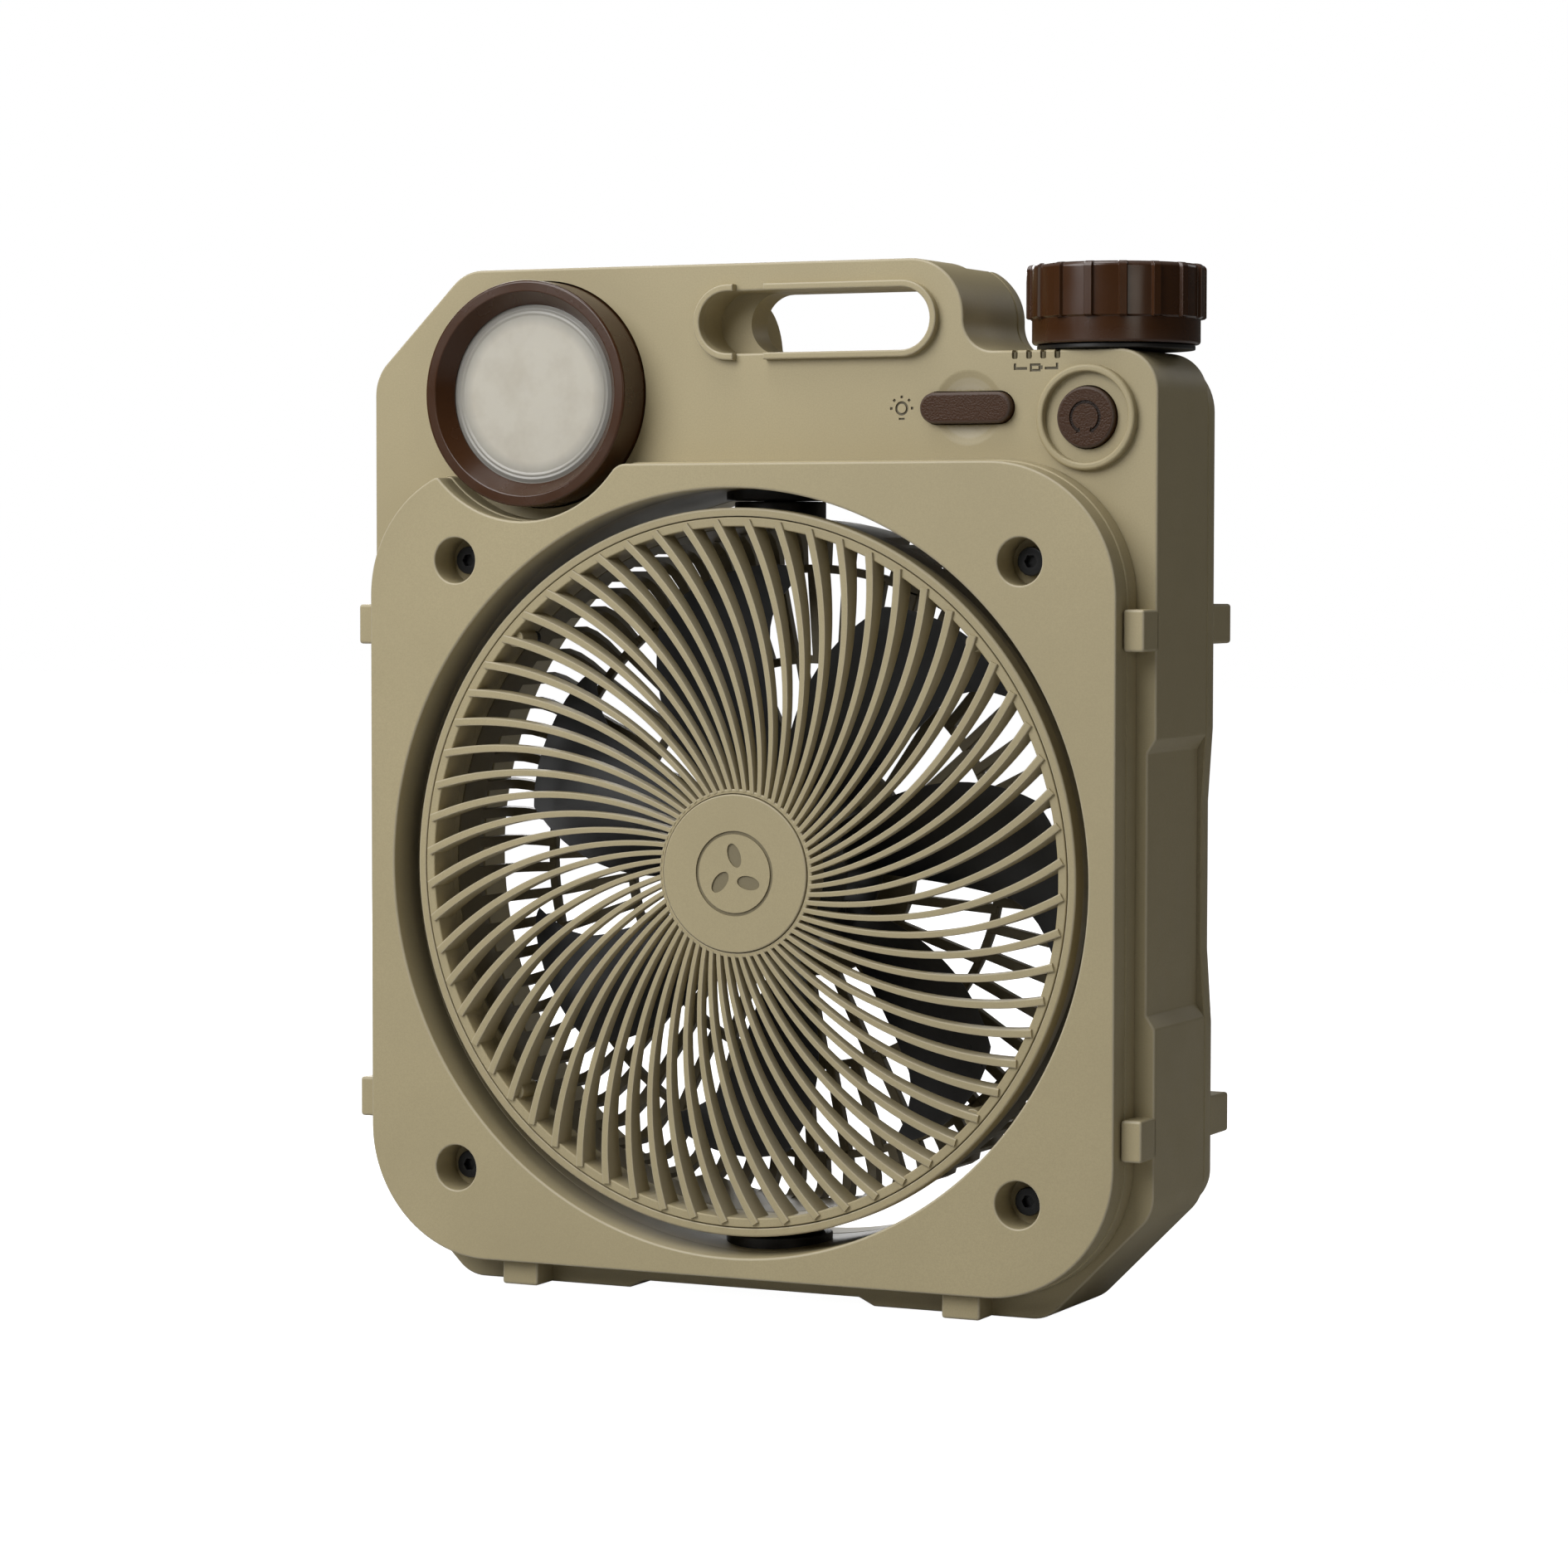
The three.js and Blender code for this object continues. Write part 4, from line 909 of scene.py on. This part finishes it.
# ---------- fan head ----------
def front_grille():
    shell = Shell()
    ring = [(103.65, 16.6, 0), (103.65, 5.2, 0.5), (106.45, 5.2, 0.35), (106.45, 16.6, 0)]
    shell.turned(rounded(ring[::-1], 18), sides=256)
    hub = [(24, 4.5, 0.2), (25.3, 4.5, 0.4), (25.3, 13, 0), (1, 13, 0), (1, 8, 0), (24, 8, 0)]
    shell.turned(rounded(hub, 18), sides=128)
    section = [(-1, 1), (-1, 0.08), (-0.86, 0.02), (-0.55, 0), (0.55, 0), (0.86, 0.02), (1, 0.08), (1, 1)]
    steps = 24

    def angle_at(distance):
        cosine = (RIB_ARC_R ** 2 + RIB_CENTRE_R ** 2 - distance ** 2) / (2 * RIB_ARC_R * RIB_CENTRE_R)
        return math.degrees(math.acos(cosine))

    first, last = angle_at(24.7), angle_at(105.3)
    for i in range(RIBS):
        start = 360 * i / RIBS + 0.14
        centre = Vector(polar(RIB_CENTRE_R, start + 90))
        loops = []
        for k in range(steps + 1):
            along = first + (last - first) * k / steps
            outward = Vector(polar(1, start - 90 + along))
            spot = centre + outward * RIB_ARC_R
            out = (spot.length - 25) / 80
            half_width = 0.72 + 0.5 * out
            depth = 3.4 + 5.6 * max(0, 1.33 * out - 0.33) ** 2
            loop = []
            for across, back in section:
                p = spot + outward * across * half_width
                # the ribs' front edges are paled for wear and as a painted highlight
                rub_highlight_shade = 0.9 if 0 < back < 0.1 else 0
                y = 4.3 + max(back * 3.4, back * depth if back == 1 else 0)
                loop.append(shell.add((p.x, y, p.y), rub_highlight_shade))
            loops.append(loop)
        shell.bridge(*loops)
        shell.faces += [tuple(loops[0]), tuple(loops[-1])]
    for x, z in POSTS:
        shell.turned(rounded([(0, 16.6, 0), (2.7, 16.6, 0), (2.7, 7, 0.4), (0, 7, 0)][::-1]), x, z, 24)
    shell.build("front_grille_fine", KHAKI, "head", ["front_grille"], "khaki_shell", 40)


def hub_cap():
    shell = Shell()
    marks = []
    for k in range(3):
        turn = 90 + 120 * k
        leaf = []
        for i in range(24):
            t = math.tau * i / 24
            along, across = 5.4 + 3.6 * math.cos(t), 2.2 * math.sin(t) + 0.9 * math.cos(t)
            x, z = polar(1, turn)
            leaf.append((x * along - z * across, z * along + x * across))
        # the floors of the leaf marks and the ring groove get painted shade
        marks.append(shell.pocket(leaf, 3.9, 0.5, -0.7))
    outer = shell.ring(circle(0, 0, 12.8, 72), 3.9)
    floors = [shell.ring(circle(0, 0, r, 72), 4.4, -0.7) for r in (12.8, 11.8)]
    inner = shell.ring(circle(0, 0, 11.8, 72), 3.9)
    shell.bridge(outer, *floors, inner)
    shell.cap(inner, *marks)
    shell.pad(lambda d: circle(0, 0, 23.75 - d, 128), 3.9, 7.7, 0.45, [outer])
    shell.build("hub_cap_fine", KHAKI, "head", ["hub_cap"], "khaki_shell")


def head_rim():
    shell = Shell()
    corners = [(103.8, 20, 0), (103.8, 17, 0), (106.75, 17, 0), (106.75, 5.2, 0.35), (109.3, 5.2, 0.8)]
    corners += [(109.3, 11, 1.5), (107.4, 20, 0)]
    shell.turned(rounded(corners, 15), sides=256)
    shell.build("head_rim_fine", KHAKI, "head", ["head_rim"], "khaki_shell")


def basket_bar(shell, profile, angle, width, lean=0):
    """A bar that follows a closed (radius, y) profile, turned to its place round the axis."""
    turn = Matrix.Rotation(math.radians(angle), 2)
    tilt = Matrix.Rotation(math.radians(lean), 2)
    pivot = Vector((profile[0][0], 0))
    loops = []
    half, edge = width / 2, 0.35
    for across, squeeze in ((-half, edge), (-half + edge, 0), (half - edge, 0), (half, edge)):
        loop = []
        middle_y = sum(y for _, y in profile) / len(profile)
        for r, y in profile:
            flat = pivot + tilt @ (Vector((r, across)) - pivot)
            x, z = turn @ flat
            loop.append(shell.add((x, y - math.copysign(squeeze * (len(profile) == 4), y - middle_y), z)))
        loops.append(loop)
    shell.bridge(*loops)
    shell.faces += [tuple(loops[0]), tuple(loops[-1])]


def rear_grille():
    shell = Shell()
    wall, back, plate = 106.4, 61.5, 58
    rings = [((103.6, wall), (20.3, 34)), ((0, 24), (plate, back)), ((24.5, 35), (plate, back))]
    rings += [((r - 1.3, r + 1.3), (plate + 0.3, back - 0.3)) for r in (63, 91)]
    for (inner, outer), (front, rear) in rings:
        soft = min(inner, 0.5)
        corners = [(inner, front, soft), (outer, front, 0.5), (outer, rear, 0.5), (inner, rear, soft)]
        shell.turned(rounded(corners[::-1], 45), sides=144)
    outer_bars, inner_bars = 72, 48
    corner = [(90, plate), (96.5, plate), (100.5, plate - 1.6), (103, plate - 4.6), (103.8, plate - 8)]
    corner += [(103.8, 22), (105.8, 22), (105.8, back - 6), (103.5, back - 2), (99, back), (90, back)]
    for i in range(outer_bars):
        angle = 360 * (i + 0.5) / outer_bars
        basket_bar(shell, corner, angle, 3)
    for i in range(inner_bars):
        angle = 360 * i / inner_bars
        basket_bar(shell, [(90.5, plate), (90.5, back), (62, back), (62, plate)], angle, 3, 4)
    for i in range(inner_bars // 2):
        angle = 360 * (i + 0.25) / (inner_bars // 2)
        basket_bar(shell, [(63.5, plate), (63.5, back), (34, back), (34, plate)], angle, 3, 7)
    for pole in (90, 270):
        outline = [polar(106.2, pole - 19 + 38 * k / 16) for k in range(17)]
        outline += [polar(103.8, pole + 19 - 38 * k / 16) for k in range(17)]
        shell.pad(lambda d: offset([(x, z, 0) for x, z in outline], d), 21, back - 5, 0.5)
    # the basket gets the darkened khaki: painted shade
    shell.build("rear_grille_fine", KHAKI_SHADED_COPY, "head", ["rear_grille"], "khaki_shell", 30)


def impeller():
    shell = Shell()
    cup = [(0, 21.5, 0), (20, 21.5, 2), (27, 26, 2), (27, 51, 0.5)]
    cup += [(25, 51, 0.5), (25, 27.5, 1), (0, 25.5, 0)]
    shell.turned(rounded(cup, 12), sides=112)
    hub_r, tip_r, mid_y, thickness = 26, 93, 40, 1.9
    along_steps, across_steps = 20, 14
    for i in range(BLADES):
        sides = []
        for face in (-0.5, 0.5):
            rows = []
            for a in range(along_steps + 1):
                row = []
                for c in range(across_steps + 1):
                    along = a / along_steps
                    across = 0.5 - 0.5 * math.cos(math.pi * c / across_steps)
                    tip = tip_r * (1 - 0.065 * across ** 4 - 0.04 * (1 - across) ** 6)
                    radius = hub_r + along * (tip - hub_r)
                    trailing = 32 - 0.0046 * (radius - 26) ** 2
                    leading = -4.4 - 0.001 * (radius - 30) ** 2 - 0.02 * max(radius - 70, 0) ** 2
                    angle = leading + (trailing - leading) * across + 360 * i / BLADES
                    lift = (10.5 - 6.5 * along) * (1 - 2 * across) + 11 * across * (1 - across)
                    thin = min(1, 0.12 + 7 * across * (1 - across), 0.15 + 9 * (1 - along))
                    x, z = polar(radius, angle)
                    # the blades' edges are paled for wear and as a painted highlight
                    rub_highlight_shade = 0.6 if c in (0, across_steps) or a == along_steps else 0
                    row.append(shell.add((x, mid_y + lift + face * thickness * thin, z), rub_highlight_shade))
                rows.append(row)
            shell.bridge(*rows, closed=False)
            sides.append(rows)
        front, rear = sides
        border = []
        for rows in (front, rear):
            edge = rows[0] + [row[-1] for row in rows[1:]]
            edge += rows[-1][-2::-1] + [row[0] for row in rows[-2:0:-1]]
            border.append(edge)
        shell.bridge(*border)
    shell.build("impeller_fine", CHARCOAL, "impeller", ["impeller"], "charcoal_blade", 50)


def finish_cad_nodes():
    """Every CAD node that still shows gets the procedural material of its slot; the light pipe is smoky."""
    slots = {part["node"]: part["material_slot"] for part in frame["record"]["subparts"]}
    for name, node in frame["nodes"].items():
        node.data.materials.clear()
        node.data.materials.append(SMOKY if name == "charge_light_pipe" else SLOT_MATERIALS[slots[name]])
        node.data.shade_smooth()
        node.data.set_sharp_from_angle(angle=math.radians(30))


# ---------- stage ----------
def light(name, place, aim, size, power, colour=(1, 1, 1)):
    data = bpy.data.lights.new(name, "AREA")
    data.shape = "DISK"
    data.size = size
    data.energy = power
    data.color = colour
    lamp_object = bpy.data.objects.new(name, data)
    lamp_object.location = place
    lamp_object.rotation_euler = (Vector(aim) - Vector(place)).to_track_quat("-Z", "Y").to_euler()
    bpy.context.scene.collection.objects.link(lamp_object)


def stage():
    mesh = bpy.data.meshes.new("floor")
    reach = 6
    corners = [(-reach, -reach, 0), (reach, -reach, 0), (reach, reach, 0), (-reach, reach, 0)]
    mesh.from_pydata(corners, [], [(0, 1, 2, 3)])
    mesh.materials.append(pale_floor())
    floor = bpy.data.objects.new("floor", mesh)
    floor.location.z = -0.0005
    bpy.context.scene.collection.objects.link(floor)
    middle = (0, 0, 0.15)
    light("key", (-0.48, -1.13, 0.97), middle, 1.2, 19)
    light("right_fill", (1.3, -1.2, 0.5), middle, 0.6, 1.6, (1, 0.95, 0.84))
    light("top", (-0.1, -0.25, 1.4), middle, 0.7, 6)
    light("back_left", (-0.9, 1.2, 0.7), middle, 0.8, 11)
    light("back_right", (0.8, 1.3, 0.9), middle, 0.6, 1.5)

    world = bpy.data.worlds.new("studio")
    bpy.context.scene.world = world
    world.use_nodes = True
    tree = world.node_tree
    soft = tree.nodes["Background"]
    soft.inputs["Color"].default_value = (1, 0.97, 0.9, 1)
    soft.inputs["Strength"].default_value = 0.06
    seen = tree.nodes.new("ShaderNodeBackground")
    seen.inputs["Color"].default_value = (1, 1, 1, 1)
    path = tree.nodes.new("ShaderNodeLightPath")
    blend = tree.nodes.new("ShaderNodeMixShader")
    tree.links.new(path.outputs["Is Camera Ray"], blend.inputs["Fac"])
    tree.links.new(soft.outputs[0], blend.inputs[1])
    tree.links.new(seen.outputs[0], blend.inputs[2])
    tree.links.new(blend.outputs[0], tree.nodes["World Output"].inputs["Surface"])
    bpy.context.scene.view_settings.view_transform = "Standard"


def camera():
    azimuth, elevation, roll = (math.radians(a) for a in (25.4513, 2.88465, 0.07456))
    flat = math.cos(elevation)
    back = Vector((math.sin(azimuth) * flat, -math.cos(azimuth) * flat, math.sin(elevation)))
    right = Vector((math.cos(azimuth), math.sin(azimuth), 0))
    up = back.cross(right)
    data = bpy.data.cameras.new("camera")
    data.lens = 104.83
    data.sensor_width = 36
    data.shift_y = 0.0004
    data.clip_end = 50
    view = bpy.data.objects.new("camera", data)
    turned = Matrix((right, up, back)).transposed() @ Matrix.Rotation(roll, 3, "Z")
    view.matrix_world = Matrix.Translation(ORIGIN + Vector((598.7, -1219.4, 95.3)) * MM) @ turned.to_4x4()
    bpy.context.scene.collection.objects.link(view)
    bpy.context.scene.camera = view


camera()
finish_cad_nodes()
front_panel()
main_housing()
rear_cover()
case_screws()
lamp()
knob()
buttons()
usb_flap()
pivots()
front_grille()
hub_cap()
head_rim()
rear_grille()
impeller()
stage()
